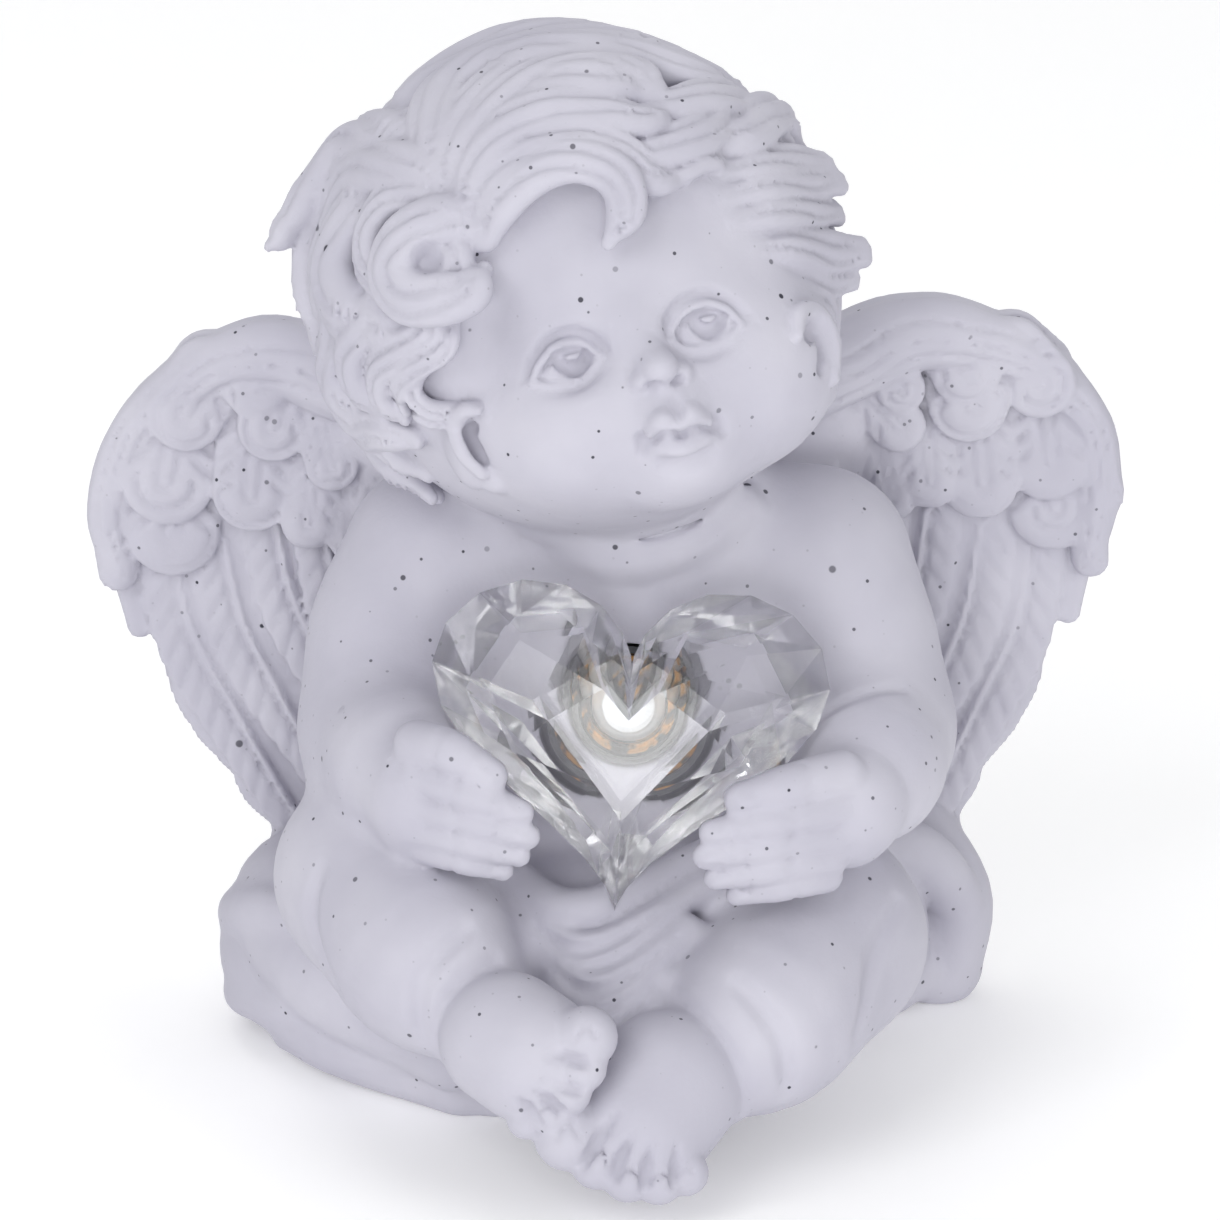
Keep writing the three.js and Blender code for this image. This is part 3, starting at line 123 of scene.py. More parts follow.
class Clay:
    """Distances to the surface on a grid of places, below zero inside."""

    def __init__(self, *axes):
        self.axes = axes
        self.field = np.full([len(a) for a in axes], FAR, dtype=np.float32)

    def window(self, low, high):
        return tuple(slice(int(np.searchsorted(a, l)), int(np.searchsorted(a, h)))
                     for a, l, h in zip(self.axes, low, high))

    def grid(self, window):
        x, y, z = (a[w] for a, w in zip(self.axes, window))
        return x[:, None, None], y[None, :, None], z[None, None, :]

    def change(self, window, distance, blend, cut):
        if cut:
            self.field[window] = -smooth_min(-self.field[window], distance, blend)
        else:
            self.field[window] = smooth_min(self.field[window], distance, blend)

    def egg(self, centre, radii, blend=0, turn=None, cut=False):
        """An ellipsoid, turned by a 3 x 3 matrix if one is given."""
        reach = max(radii) + blend + MARGIN
        window = self.window(np.asarray(centre) - reach, np.asarray(centre) + reach)
        x, y, z = self.grid(window)
        x, y, z = x - centre[0], y - centre[1], z - centre[2]
        if turn is not None:
            x, y, z = (turn[0][i] * x + turn[1][i] * y + turn[2][i] * z for i in range(3))
        k0 = np.sqrt((x / radii[0]) ** 2 + (y / radii[1]) ** 2 + (z / radii[2]) ** 2)
        k1 = np.sqrt((x / radii[0] ** 2) ** 2 + (y / radii[1] ** 2) ** 2 + (z / radii[2] ** 2) ** 2)
        self.change(window, k0 * (k0 - 1) / np.maximum(k1, 1e-6), blend, cut)

    def ball(self, centre, radius, blend=0, cut=False):
        self.egg(centre, (radius, radius, radius), blend, None, cut)

    def rope(self, points, radii, blend=0, flat=1, face=forward, pieces=6, relief=None, cut=False,
             plate=None):
        """A tapered rope along a smooth curve. With flat under 1 its section is an oval that is thin along
        face(place), and plate=(half thickness, rounding, dome) makes it a plate with rounded edges.
        relief(across, up, along, share) says how deep its surface is carved there."""
        at, width = along_curve(points, radii, pieces)
        reach = max(width) + blend + MARGIN
        whole = self.window(at.min(axis=0) - reach, at.max(axis=0) + reach)
        shape = [w.stop - w.start for w in whole]
        if min(shape) <= 0:
            return
        best = np.full(shape, FAR, dtype=np.float32)
        shaped = flat != 1 or relief is not None or plate is not None
        if shaped:
            side, up, thick, way = (np.ones(shape, dtype=np.float32) for _ in range(4))
        run = 0
        for a, b, wa, wb in zip(at[:-1], at[1:], width[:-1], width[1:]):
            near = max(wa, wb) + blend + MARGIN
            part = self.window(np.minimum(a, b) - near, np.maximum(a, b) + near)
            local = tuple(slice(p.start - w.start, p.stop - w.start) for p, w in zip(part, whole))
            x, y, z = self.grid(part)
            step = b - a
            length = np.linalg.norm(step)
            px, py, pz = x - a[0], y - a[1], z - a[2]
            t = np.clip((px * step[0] + py * step[1] + pz * step[2]) / length ** 2, 0, 1)
            qx, qy, qz = px - step[0] * t, py - step[1] * t, pz - step[2] * t
            w = wa + (wb - wa) * t
            away = qx * qx + qy * qy + qz * qz
            d = np.sqrt(away) - w
            closer = d < best[local]
            best[local] = np.where(closer, d, best[local])
            if shaped:
                out = face((a + b) / 2)
                out = out / np.linalg.norm(out)
                across = np.cross(step / length, out)
                rise = qx * out[0] + qy * out[1] + qz * out[2]
                left = np.sqrt(np.maximum(away - rise * rise, 0))
                left = np.where(qx * across[0] + qy * across[1] + qz * across[2] < 0, -left, left)
                for kept, new in ((side, left), (up, rise), (thick, w), (way, run + t * length)):
                    kept[local] = np.where(closer, new, kept[local])
            run += length
        if shaped:
            if plate is None:
                d = oval(side, up, thick, thick * flat)
            else:
                half, rounding, dome = plate
                beside = np.abs(side) - thick + rounding
                above = np.abs(up + dome * (side / thick) ** 2) - half + rounding
                d = np.hypot(np.maximum(beside, 0), np.maximum(above, 0)) - rounding
                d = d + np.minimum(np.maximum(beside, above), 0)
            if relief is not None:
                d = d + relief(side / thick, up / thick, way, way / run)
            best = np.where(best < FAR, np.minimum(d, FAR), FAR)
        self.change(whole, best, blend, cut)

    def skin(self, start, way, lift=0):
        """The place where a line from start along way first meets the clay, then lift back out of it."""
        steps = np.arange(0, SKIN_REACH, SKIN_STEP)
        places = np.asarray(start) + np.outer(steps, way)
        cell, share = [], []
        for i, a in enumerate(self.axes):
            low = np.clip(np.searchsorted(a, places[:, i]) - 1, 0, len(a) - 2)
            cell.append(low)
            share.append((places[:, i] - a[low]) / (a[low + 1] - a[low]))
        depth = 0
        for corner in np.ndindex(2, 2, 2):
            weight = np.prod([s if up else 1 - s for s, up in zip(share, corner)], axis=0)
            depth = depth + weight * self.field[tuple(c + up for c, up in zip(cell, corner))]
        inside = np.nonzero(depth < 0)[0]
        k = max(int(inside[0]), 1) if len(inside) else 1
        share = depth[k - 1] / max(depth[k - 1] - depth[k], 1e-6)
        return places[k - 1] + (places[k] - places[k - 1]) * min(share, 1) - np.asarray(way) * lift


# Heart sizes that the cherub is shaped round
heart_low, heart_high = (Vector(c) * 1000 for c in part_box("heart_crystal"))
HEART_WIDTH = heart_high.x - heart_low.x
HEART_CENTRE = vec(1.8, -21.5, 46.6)


def body(clay):
    clay.egg((1, 8, 15), (25, 22, 16))
    clay.egg((2, 0, 34), (20, 14, 17), 6)
    clay.egg((3, 3, 54), (21, 13, 17), 6)
    clay.rope([(-17, 5, 62), (3, 5, 65), (23, 5, 61)], [9, 9, 9], 6)
    clay.rope([(3, 2, 66), (3.5, -2, 78)], [12, 11], 5)
    # The crease under the chin, with a soft fold and a dimple below it
    crease = [(-10, 72.4), (-4, 69.2), (1.2, 67.9), (8, 69), (16, 72)]
    fold = [clay.skin((x, BEFORE_CHEST, z - 2.8), BACK, -0.6) for x, z in crease]
    under_chin = [clay.skin((x, BEFORE_CHEST, z), BACK, -0.3) for x, z in crease]
    clay.rope(under_chin, [0.5, 1, 1.3, 1, 0.5], 1, cut=True)
    clay.rope(fold, [0.8, 1.5, 1.8, 1.5, 0.8], 2.5)
    clay.ball((2, -14, 60.5), 1.5, 1.4, cut=True)


def wrist_x(side, x):
    return HEART_CENTRE[0] + side * (HEART_WIDTH / 2 + x)


def arms(clay):
    clay.rope([(-21, 4, 61), (-25, 0, 52), (-25.5, -6, 43)], [9.5, 10, 9.8], 5)
    clay.rope([(-25.5, -6, 43), (-24, -17, 43.5), (wrist_x(-1, 0.3), -25, 43)], [9.8, 8.6, 6], 3)
    clay.rope([(25, 4, 60), (28, 0, 51), (29.5, -5, 43)], [9.5, 10, 9.8], 5)
    clay.rope([(29.5, -5, 43), (29.5, -15, 42.5), (wrist_x(1, 3.2), -23, 41.5)], [9.8, 9, 6.5], 3)
    clay.rope([(-24, -15, 54), (-19, -17, 53.5), (-14, -16, 51)], [0.3, 0.8, 0.5], 1.5, cut=True)
    clay.rope([(33, -14, 51), (27, -17, 51.5), (21, -18, 47)], [0.3, 0.8, 0.5], 1.5, cut=True)


def finger_relief(across, up, along, share):
    """A crease over each joint and the rim of a nail, on the side that faces forward."""
    joints = 0.22 * np.exp(-((share - 0.42) / 0.03) ** 2) + 0.18 * np.exp(-((share - 0.72) / 0.025) ** 2)
    nail = 0.22 * np.exp(-((np.hypot(across, (share - 0.94) * 5.5) - 0.6) / 0.14) ** 2)
    return (joints + nail) * (up > -0.1)


def hand(clay, side, palm, thumb, fingers):
    """x is counted outward from the heart's widest point and y forward from its middle."""
    def held(place):
        x, y, z = place
        return vec(HEART_CENTRE[0] + side * (HEART_WIDTH / 2 + x), HEART_CENTRE[1] - y, z)
    clay.egg(held(palm), (4.8, 4.4, 6.2), 3)
    for i, (base, tip) in enumerate(fingers):
        knuckle = (held(base) + held(tip)) / 2 + vec(0, -1.4, 0.6)
        clay.rope([held(base), knuckle, held(tip)], [2.3 - 0.1 * i, 2.2 - 0.1 * i, 1.6 - 0.1 * i], 0.5,
                  relief=finger_relief)
    clay.rope([held(p) for p in thumb], [2.8, 2.5, 2], 0.8, relief=finger_relief)


def hands(clay):
    hand(clay, -1, (1.2, 5, 42.6), [(0.8, 6.5, 49.6), (-2.7, 9.6, 50), (-7.3, 10.4, 47.4)], [
        [(0.8, 7.6, 46.4), (-10.6, 10.6, 43)],
        [(0.8, 7.6, 42.8), (-11.4, 10.6, 40.2)],
        [(0.3, 7.6, 39.8), (-10.4, 10.2, 37.8)],
        [(-0.2, 7, 37.4), (-8.6, 9.2, 35.6)],
    ])
    hand(clay, 1, (2.4, 4.5, 40.4), [(1.6, 6.4, 46), (-4, 9.8, 46), (-9.6, 11, 44.8)], [
        [(1, 7.6, 42.4), (-12.8, 11.6, 41)],
        [(1, 7.6, 39.2), (-13.6, 11.6, 38.2)],
        [(0.5, 7.6, 36.4), (-12.4, 11.2, 35.4)],
        [(0, 7, 34), (-10, 10.2, 33)],
    ])


def legs(clay):
    clay.rope([(-10, 6, 18), (-20, -6, 24), (-26, -14, 28)], [15, 13.5, 12], 4)
    clay.rope([(-26, -14, 28), (-21.5, -27, 24.5), (-14.5, -36, 19.5)], [11.8, 10.6, 6.4], 3)
    clay.rope([(12, 6, 17), (22, -8, 20), (24, -16, 21)], [15, 13, 11.8], 4)
    clay.rope([(24, -16, 21), (18, -29, 18), (11, -36, 14)], [11.8, 11, 7.2], 3)
    # The soft creases at the knees and above the ankles
    for places in ([(33, 28), (30, 24), (28, 17)], [(-33, 33), (-34, 27), (-31, 21)],
                   [(14, 25), (19, 20), (20, 12)], [(-16, 30.5), (-21, 26), (-21, 18)],
                   [(-12.6, 27), (-15.4, 26), (-18.8, 22.4), (-19.4, 17)],
                   [(6, 22), (9.6, 20.6), (13.6, 16.6), (15, 10)]):
        crease = [clay.skin((x, BEFORE_FEET, z), BACK, 0.4) for x, z in places]
        clay.rope(crease, [0.4, 1, 0.4], 1.6, cut=True)


def foot(clay, heel, ball, radii, toes, sizes, grooves):
    clay.rope([heel, ball], radii, 0.7)
    for toe, size in zip(toes, sizes):
        root = np.asarray(ball) * 0.5 + np.asarray(toe) * 0.5
        clay.rope([root, toe], [size * 1.1, size], 0.6)
    # A groove runs back from between each two toes, and an arc is cut round each nail
    for groove in grooves:
        path = [clay.skin((x, BEFORE_FEET, z), BACK) for x, z in groove]
        clay.rope(path, [0.3, 0.75, 0.7], 0.4, cut=True)
    for toe, size in zip(toes, sizes):
        x, y, z = toe
        arc = [(x - 0.4 * size, z + 0.25 * size), (x, z + 0.75 * size), (x + 0.4 * size, z + 0.25 * size)]
        path = [clay.skin((u, BEFORE_FEET, v), BACK, 0.1) for u, v in arc]
        clay.rope(path, [0.25, 0.3, 0.25], cut=True)


def feet(clay):
    foot(clay, (6.5, -39, 13), (3.4, -42.6, 9.8), (8.4, 8.2),
         [(-4.6, -47.2, 10.4), (-1.4, -48.6, 7.8), (2, -49.2, 6.4), (5.4, -48.8, 5.8), (8.4, -47.4, 6)],
         (3.9, 3, 2.9, 2.8, 2.6),
         [[(0.6, 14), (-1, 11.6), (-3, 8.6)], [(2.6, 12), (1.2, 9.4), (0.6, 7.4)],
          [(4.8, 11), (4, 8.2), (3.8, 6.4)], [(7.4, 10.4), (7.2, 7.8), (7.1, 6.4)]])
    foot(clay, (-11.5, -40, 19), (-8.8, -42.4, 18), (7.6, 7.6),
         [(-2.6, -45.8, 21.8), (-3, -47.4, 18.8), (-4.6, -48.2, 16.2), (-6.8, -48.2, 14), (-9.2, -47, 12.4)],
         (3.5, 2.7, 2.6, 2.5, 2.3),
         [[(-7, 20.8), (-4.6, 20.6), (-2.6, 20.2)], [(-7.4, 18.4), (-5.2, 17.8), (-3.4, 17.2)],
          [(-8.4, 17), (-6.8, 16), (-5.4, 14.9)], [(-10.2, 16), (-9, 14.8), (-7.9, 13.4)]])


def cloth(clay):
    clay.egg((-5, 10, 4), (31, 27, 10), 4)
    clay.egg((1, 18, 11), (33, 20, 13), 4)
    folds = [
        ([(-18, -20, 9), (-33, -6, 13), (-38, 9, 15), (-33, 23, 15), (-18, 33, 16), (0, 36, 17),
          (18, 31, 19), (33, 20, 21), (40, 17, 13), (39.5, 17, 4)], [5, 6.5, 7, 6, 6, 6, 6, 5.8, 5.8, 5.5]),
        ([(-17, -16, 4), (-33, -5, 6), (-40, 8, 9), (-37, 23, 8), (-22, 35, 7), (0, 39, 7),
          (22, 35, 7), (36, 26, 7), (36, 14, 5)], [5, 5.5, 6.4, 6.6, 6.6, 6.6, 6.6, 6, 4.5]),
        ([(-13, -16, 3), (-26, -7, 3), (-35, 6, 3), (-28, 24, 2)], [4.5, 4.5, 5, 6]),
        ([(20, 8, 24), (30, 6, 20), (33.5, 9, 12), (33, 12, 4)], [5, 5, 4.5, 4.5]),
        ([(27, 2, 26), (36, 8, 22), (41, 13, 14), (41.5, 14, 6)], [2.5, 3.6, 3.4, 2.6]),
        ([(-36, -6, 20), (-42, 4, 16), (-43, 14, 12), (-38, 26, 10)], [2.4, 3.4, 3.6, 3]),
        ([(-30, -12, 12), (-38, -4, 8), (-43, 6, 5), (-42, 16, 3)], [1.8, 2.6, 3, 2.4]),
        ([(-24, -17, 6), (-32, -10, 4), (-38, -2, 2.5)], [1.4, 2, 1.6]),
    ]
    for path, radii in folds:
        clay.rope(path, radii, 1)
    clay.egg((0, -14.5, 19.5), (14, 14.5, 12.5), 3)
    # The end that hangs in the lap: four rounded swags, each under the one before, with a crease below each
    swags = [
        [(-12, -18, 31), (-4.4, -24.6, 28), (11, -19, 33)],
        [(-10, -21, 27.6), (-2.6, -28.4, 24.4), (10.6, -21.5, 30)],
        [(-8, -25.5, 23.6), (-1, -31.8, 21), (8.6, -25.6, 26.4)],
        [(-6, -29.6, 20), (0.4, -34.8, 17.4), (6, -30, 21.6)],
    ]
    for swag in swags:
        clay.rope(swag, [1.6, 2.6, 1.7], 0.8)
    # The cloth is tucked up against the thighs on both sides
    for tuck in [(-10, -18, 25), (-9, -23, 21.5), (11, -17, 27)]:
        clay.ball(tuck, 4.8, 3)
    for swag in swags:
        line = along_curve(swag, (1, 1), 6)[0][3:-2]
        crease = [clay.skin((x, BEFORE_LAP, z - 2.4), BACK, -0.2) for x, y, z in line]
        clay.rope(crease, [0.2, 0.9, 1, 0.8, 0.2], 0.6, cut=True)


# Wings: each is laid out flat, u out from the spine and v up, then slanted back as it goes out, and its rim
# comes forward
WING_TIP = (40, 17)
WING_SPLAY_DEG = {-1: 3, 1: 0}


def on_wing(side, u, v, forward_by=0):
    turn = math.radians(WING_SPLAY_DEG[side])
    du = u - WING_TIP[0]
    dv = (v - WING_TIP[1]) * (0.965 if side < 0 else 1)
    out = WING_TIP[0] + du * math.cos(turn) + dv * math.sin(turn)
    high = WING_TIP[1] + dv * math.cos(turn) - du * math.sin(turn)
    return vec(side * out, 19 + 0.12 * (out - 20) - forward_by, high)


# Coverts, the short round feathers, as (root u, root v, tip u, tip v, half width), lowest row first
COVERTS = {
    -1: [(26, 67, 25, 60.5, 2.7), (28.5, 63, 28.3, 56, 2.4), (49, 63, 49.5, 54.5, 4.7),
         (57, 60, 56.5, 52.5, 2),
         (32, 66.5, 33.2, 57.8, 2.8), (38.6, 70, 39.6, 60.3, 4), (48, 71, 49.6, 61.4, 4.7),
         (31, 73, 30, 65.5, 2.7), (34.6, 75.5, 36.6, 69.4, 3.6), (43.8, 77, 46.8, 70.9, 3.8),
         (40.6, 78.3, 38.4, 75, 3)],
    1: [(31.4, 67.4, 33.3, 60, 2.4), (51.7, 62, 52.4, 55.6, 4.5), (56.6, 60, 57, 52, 1.8),
        (36.6, 70, 37.6, 61.5, 2.9), (43.1, 69.5, 43.6, 60, 3.8), (57, 67, 58.4, 60, 2),
        (50.9, 72, 51.7, 62, 4),
        (29.7, 73.4, 33.8, 68.8, 2.7), (41.2, 74.5, 42, 69.8, 4),
        (31.5, 77.5, 34, 73.8, 2.4), (40.2, 78.1, 41.6, 74.4, 3.4), (47, 77.2, 50.3, 72.6, 3.6)],
}
SCRAPS = [(24, 63, 22.5, 57, 2.2), (22, 68, 20, 63, 2.2), (26, 71, 24, 65, 2.3), (22, 73, 21, 68, 2.2),
          (27, 75.5, 27.5, 70, 2.3), (24, 77, 22.5, 73, 2)]
LONG_FEATHERS = [
    ([(26.5, 57), (26.5, 50), (26, 44)], 2.4),
    ([(33, 59), (32, 50), (30, 42)], 2.6),
    ([(38.8, 60), (37.4, 50), (34.3, 42), (31, 34)], 2.8),
    ([(45.2, 58), (43.6, 47), (39.6, 37), (34.5, 27)], 2.9),
    ([(51.4, 56), (49.8, 45.5), (45, 34.5), (38.6, 21.5)], 3.1),
]
LEADING_EDGE = {
    -1: [(12, 68), (20, 76), (29, 79.4), (36, 82.3), (43, 81), (50, 76.2), (54.6, 70.5), (57, 62), (56, 55)],
    1: [(12, 68), (20, 76.5), (28, 80.2), (34.5, 82.8), (41, 82.6), (48, 79.6), (53, 75.6), (56.8, 70),
        (57.6, 62), (56.6, 55)],
}


def wing(clay, side):
    def on(pairs, lift):
        return [on_wing(side, u, v, lift) for u, v in pairs]

    def long_feather(across, up, along, share):
        """A quill between two grooves near the inner edge, and faint barbs that slant off it."""
        inner = across * side
        quill = 0.7 * np.exp(-((inner - 0.86) / 0.14) ** 2) + 0.65 * np.exp(-((inner - 0.34) / 0.12) ** 2)
        ridge = -0.4 * np.exp(-((inner - 0.6) / 0.13) ** 2)
        barbs = 0.28 * np.clip(np.sin(2 * math.pi * (along + 3 * inner) / 3.2), 0, 1) * (inner < 0.25)
        return quill + ridge + barbs

    def covert(across, up, along, share):
        """A shaft between two grooves, and short grooves that slant off it toward the tip."""
        shaft = 0.42 * np.exp(-((np.abs(across) - 0.17) / 0.1) ** 2)
        slant = (along - 4 * np.abs(across)) / 2.3
        barbs = 0.48 * np.clip(np.cos(2 * math.pi * slant), 0, 1) ** 1.5
        barbs = barbs * np.clip(np.abs(across) * 4 - 1.1, 0, 1)
        return shaft + barbs * np.clip((0.95 - np.abs(across)) * 7, 0, 1)

    def band_lines(across, up, along, share):
        """Long shallow grooves in the smooth feathers of the leading edge."""
        wave = np.cos(across * 13 + 0.22 * along + 0.8 * np.sin(0.5 * along))
        return 0.42 * np.clip(wave, 0, 1) ** 2 * np.clip((0.85 - np.abs(across)) * 5, 0, 1)

    clay.rope(on([(18, 60), (35, 64), (37, 45), (36, 28)], -1.4), [13, 18, 15.5, 9], 3, flat=0.13)
    clay.rope(on([(8, 60), (16, 66), (26, 72)], -1), [7, 6, 5], 4)
    clay.rope([(14 * side, 13, 58), (20 * side, 14, 42), (25 * side, 16, 26)], [8, 8, 8], 4)
    for path, half in LONG_FEATHERS:
        widths = [half, half * 1.05, half * 0.7]
        for forward_by, dome in ((0.9, 0.3), (-1, -0.3)):
            clay.rope(on(path, forward_by), widths, 0.1, relief=long_feather, plate=(0.9, 0.5, dome))
    clay.rope(on([(56, 57), (54.6, 47)], 0.6), [2, 1.5], 0.3, plate=(0.9, 0.5, 0.3))
    clay.rope(on([(26, 68), (36, 71), (46, 70), (53, 64)], 0.4), [7, 8.5, 8, 4], 0.8, flat=0.2)
    for k, (root_u, root_v, tip_u, tip_v, half) in enumerate(SCRAPS + COVERTS[side]):
        k = max(k - len(SCRAPS) + 1, 0)
        high = 2.4 + 2 * k / len(COVERTS[side])
        half = half * 1.2
        path = [on_wing(side, root_u, root_v + 3, high - 1.5), on_wing(side, tip_u, tip_v + half, high)]
        clay.rope(path, [half * 1.02, half], 0.05, relief=covert, plate=(0.85, 0.4, 0.6))
        behind = -1 - 0.3 * high
        path = [on_wing(side, root_u, root_v + 3, behind + 1.2), on_wing(side, tip_u, tip_v + half, behind)]
        clay.rope(path, [half * 1.02, half], 0.05, face=backward, relief=covert, plate=(0.85, 0.4, 0.6))
    edge = on(LEADING_EDGE[side], 2.4)
    clay.rope(edge, [5.8, 5.3, 4.9, 4.4, 3.6, 3.1, 2.8, 2.7, 2.1], 0.3, flat=0.8, relief=band_lines)
    edge = on(LEADING_EDGE[side], 0)
    clay.rope(edge, [5.8, 5.3, 4.9, 4.2, 3.4, 2.9, 2.6, 2.5, 1.9], 0.3, flat=0.85, face=backward,
              relief=band_lines)


# Head: modelled upright about its own centre, then turned a little, tipped back and leant to one side
HEAD_CENTRE = vec(1.2, -4.5, 92.3)
HEAD_TURN = np.array(
    Matrix.Rotation(math.radians(6), 3, "Z") @ Matrix.Rotation(math.radians(-21), 3, "X")
    @ Matrix.Rotation(math.radians(-14), 3, "Y"))


def on_head(x, y, z):
    return HEAD_TURN @ vec(x, y, z) + HEAD_CENTRE


def head_egg(clay, x, y, z, rx, ry, rz, blend=0):
    clay.egg(on_head(x, y, z), (rx, ry, rz), blend, HEAD_TURN)


def face(clay):
    head_egg(clay, 0, 1, 2, 23, 24, 22.5)
    head_egg(clay, 0, -5, -4.5, 19.8, 19, 18.2, 4)
    head_egg(clay, -1, -13, 9, 14, 9, 9, 6)
    for side in SIDES:
        head_egg(clay, 10.3 * side, -12.6, -10.5, 9.8, 9.8, 9, 6)
    head_egg(clay, 0.3, -15.5, -18, 7, 6, 4.6, 4)
    head_egg(clay, 0, -20, -12.8, 5.5, 4.4, 4.6, 5)
    way = HEAD_TURN @ BACK

    def skin(x, z, lift=0):
        return clay.skin(on_head(x, BEFORE_FACE, z), way, lift)

    def line(places, radii, lift, blend, cut=False):
        clay.rope([skin(x, z, lift) for x, z in places], radii, blend, cut=cut)

    # Eyes: a socket, the ball, the lids round it, and a hollow cut iris with a light left standing in it
    eyes = [
        dict(middle=(-9.6, -3.9),
             crease=[(-14.6, -4.6), (-13, -2.6), (-10.9, -1.1), (-8.1, -0.9), (-6, -2.3), (-5, -4)],
             upper=[(-13.9, -5), (-12.3, -3.3), (-10.2, -2.1), (-7.7, -2.2), (-5.8, -4.2)],
             lower=[(-13.9, -5.1), (-11.4, -6.1), (-8.8, -6), (-6.6, -5.1), (-5.8, -4.3)],
             iris=[(-10.7, -2.9), (-10.2, -4.1), (-8.9, -4.9), (-7.6, -4.3), (-7.2, -3.2)]),
        dict(middle=(6.1, -4.2),
             crease=[(1.4, -4.6), (2, -2.8), (3.9, -1.2), (6.7, -0.9), (9.3, -2.3), (11.6, -5.4)],
             upper=[(2.1, -4.8), (2.8, -3.4), (4.4, -2.3), (6.8, -2.1), (8.8, -3.2), (10, -5.1)],
             lower=[(2.1, -4.9), (3.1, -6.1), (5.2, -6.7), (7.7, -6.5), (10, -5.3)],
             iris=[(5, -2.9), (5.2, -4.2), (6.3, -5), (7.6, -4.6), (8.2, -3.6)]),
    ]
    for eye in eyes:
        x, z = eye["middle"]
        ball = skin(x, z, -3.7)
        clay.egg(skin(x, z, 1.1), (4.7, 3, 3.2), 2.2, HEAD_TURN, cut=True)
        clay.egg(ball, (4.3, 3.4, 3.3), 0.4, HEAD_TURN)
        line(eye["crease"], [0.3, 0.5, 0.6, 0.5, 0.3], 0.1, 0.5, cut=True)
        line(eye["upper"], [0.4, 0.6, 0.7, 0.6, 0.4], 0.1, 0.3)
        line(eye["lower"], [0.3, 0.45, 0.5, 0.45, 0.3], 0, 0.4)
        line(eye["iris"], [0.35, 0.8, 1, 0.8, 0.35], -0.45, 0.1, cut=True)
        line([(u, v - 0.75) for u, v in eye["upper"][1:-1]], [0.3, 0.55, 0.3], -0.2, 0.1, cut=True)
        line([(u, v - 0.9) for u, v in eye["lower"][1:-1]], [0.2, 0.4, 0.2], 0.1, 0.6, cut=True)
    # Nose: a low bridge, a round tip, and small wings with the nostrils under them
    bridge = [on_head(-1.8, -22.2, -1), on_head(-1.1, -23.8, -4.6), on_head(-0.5, -25.4, -6.8)]
    clay.rope(bridge, [1.4, 1.4, 1.6], 2.5)
    head_egg(clay, -0.4, -25.9, -7.5, 2, 2.2, 1.8, 0.9)
    for x, z in ((2, -8.6), (-2.6, -8.3)):
        head_egg(clay, x, -24.3, z, 1.25, 1.6, 1.2, 0.6)
    for x, z in ((1, -9.3), (-1.6, -9.1)):
        clay.rope([skin(x - 0.3, z, 0), skin(x + 0.4, z, 0)], [0.6, 0.6], 0.4, cut=True)
    # Mouth: a full bowed upper lip over a small lower one, and a soft dimple at each corner
    head_egg(clay, 0, -23.6, -12.2, 3.3, 2.4, 2.5, 1.8)
    line([(-3.2, -14), (-1.6, -13.1), (-0.2, -13.7), (1.2, -13.2), (3.2, -14.5)],
         [0.7, 1.3, 1, 1.3, 0.7], 0.1, 0.8)
    line([(-2.3, -16), (-0.1, -16.5), (2.3, -16.3)], [0.8, 1.35, 0.8], -0.3, 0.8)
    line([(-3.9, -14.8), (-2.6, -14.7), (-1.4, -14.4), (-0.2, -15), (1.2, -14.6), (3.7, -15.3)],
         [0.5, 0.6, 0.6, 0.6, 0.5], -0.25, 0.15, cut=True)
    line([(-2.2, -18.1), (0.1, -18.5), (2.4, -18.3)], [0.3, 0.7, 0.3], 0.4, 2, cut=True)
    line([(-0.1, -11), (0.1, -12.7)], [0.5, 0.7], 0.1, 0.7, cut=True)
    for places in ([(-4.1, -14.3), (-4.5, -15.6)], [(4.3, -14.7), (4.7, -16)]):
        line(places, [0.65, 0.5], -0.2, 0.9, cut=True)


# Hair: a cap that is open over the face, then wavy locks laid on it. A place on the scalp is an azimuth
# from straight ahead, toward the cherub's left, and a height, in degrees, then a lift in millimetres.
SCALP_CENTRE = vec(-4, 1.5, 4)
SCALP = vec(27, 26.5, 27)
HAIR_REACH = 36


def on_scalp(azimuth, height, lift):
    a, h = math.radians(azimuth), math.radians(height)
    way = vec(math.cos(h) * math.sin(a), -math.cos(h) * math.cos(a), math.sin(h))
    reach = 1 / np.linalg.norm(way / SCALP)
    return on_head(*(way * (reach + lift) + SCALP_CENTRE))


def out_of_head(place):
    return place - HEAD_CENTRE


def strands(across, up, along, share):
    """A lock's hollow middle with two narrow creases, fading out at its ends."""
    a = across + 0.2 * np.sin(along * 0.3)
    ends = np.clip(np.sin(math.pi * np.clip(share, 0.02, 0.98)), 0, 1) ** 0.5
    creases = np.exp(-((np.abs(a) - 0.38) / 0.16) ** 2)
    hollow = np.clip(1 - (a / 0.8) ** 2, 0, 1)
    return ends * (0.6 * creases + 0.22 * hollow) * (up > -0.2)


def lock(clay, places, radii):
    path = [on_scalp(*place) for place in places]
    clay.rope(path, radii, 0.3, flat=0.7, face=out_of_head, relief=strands)


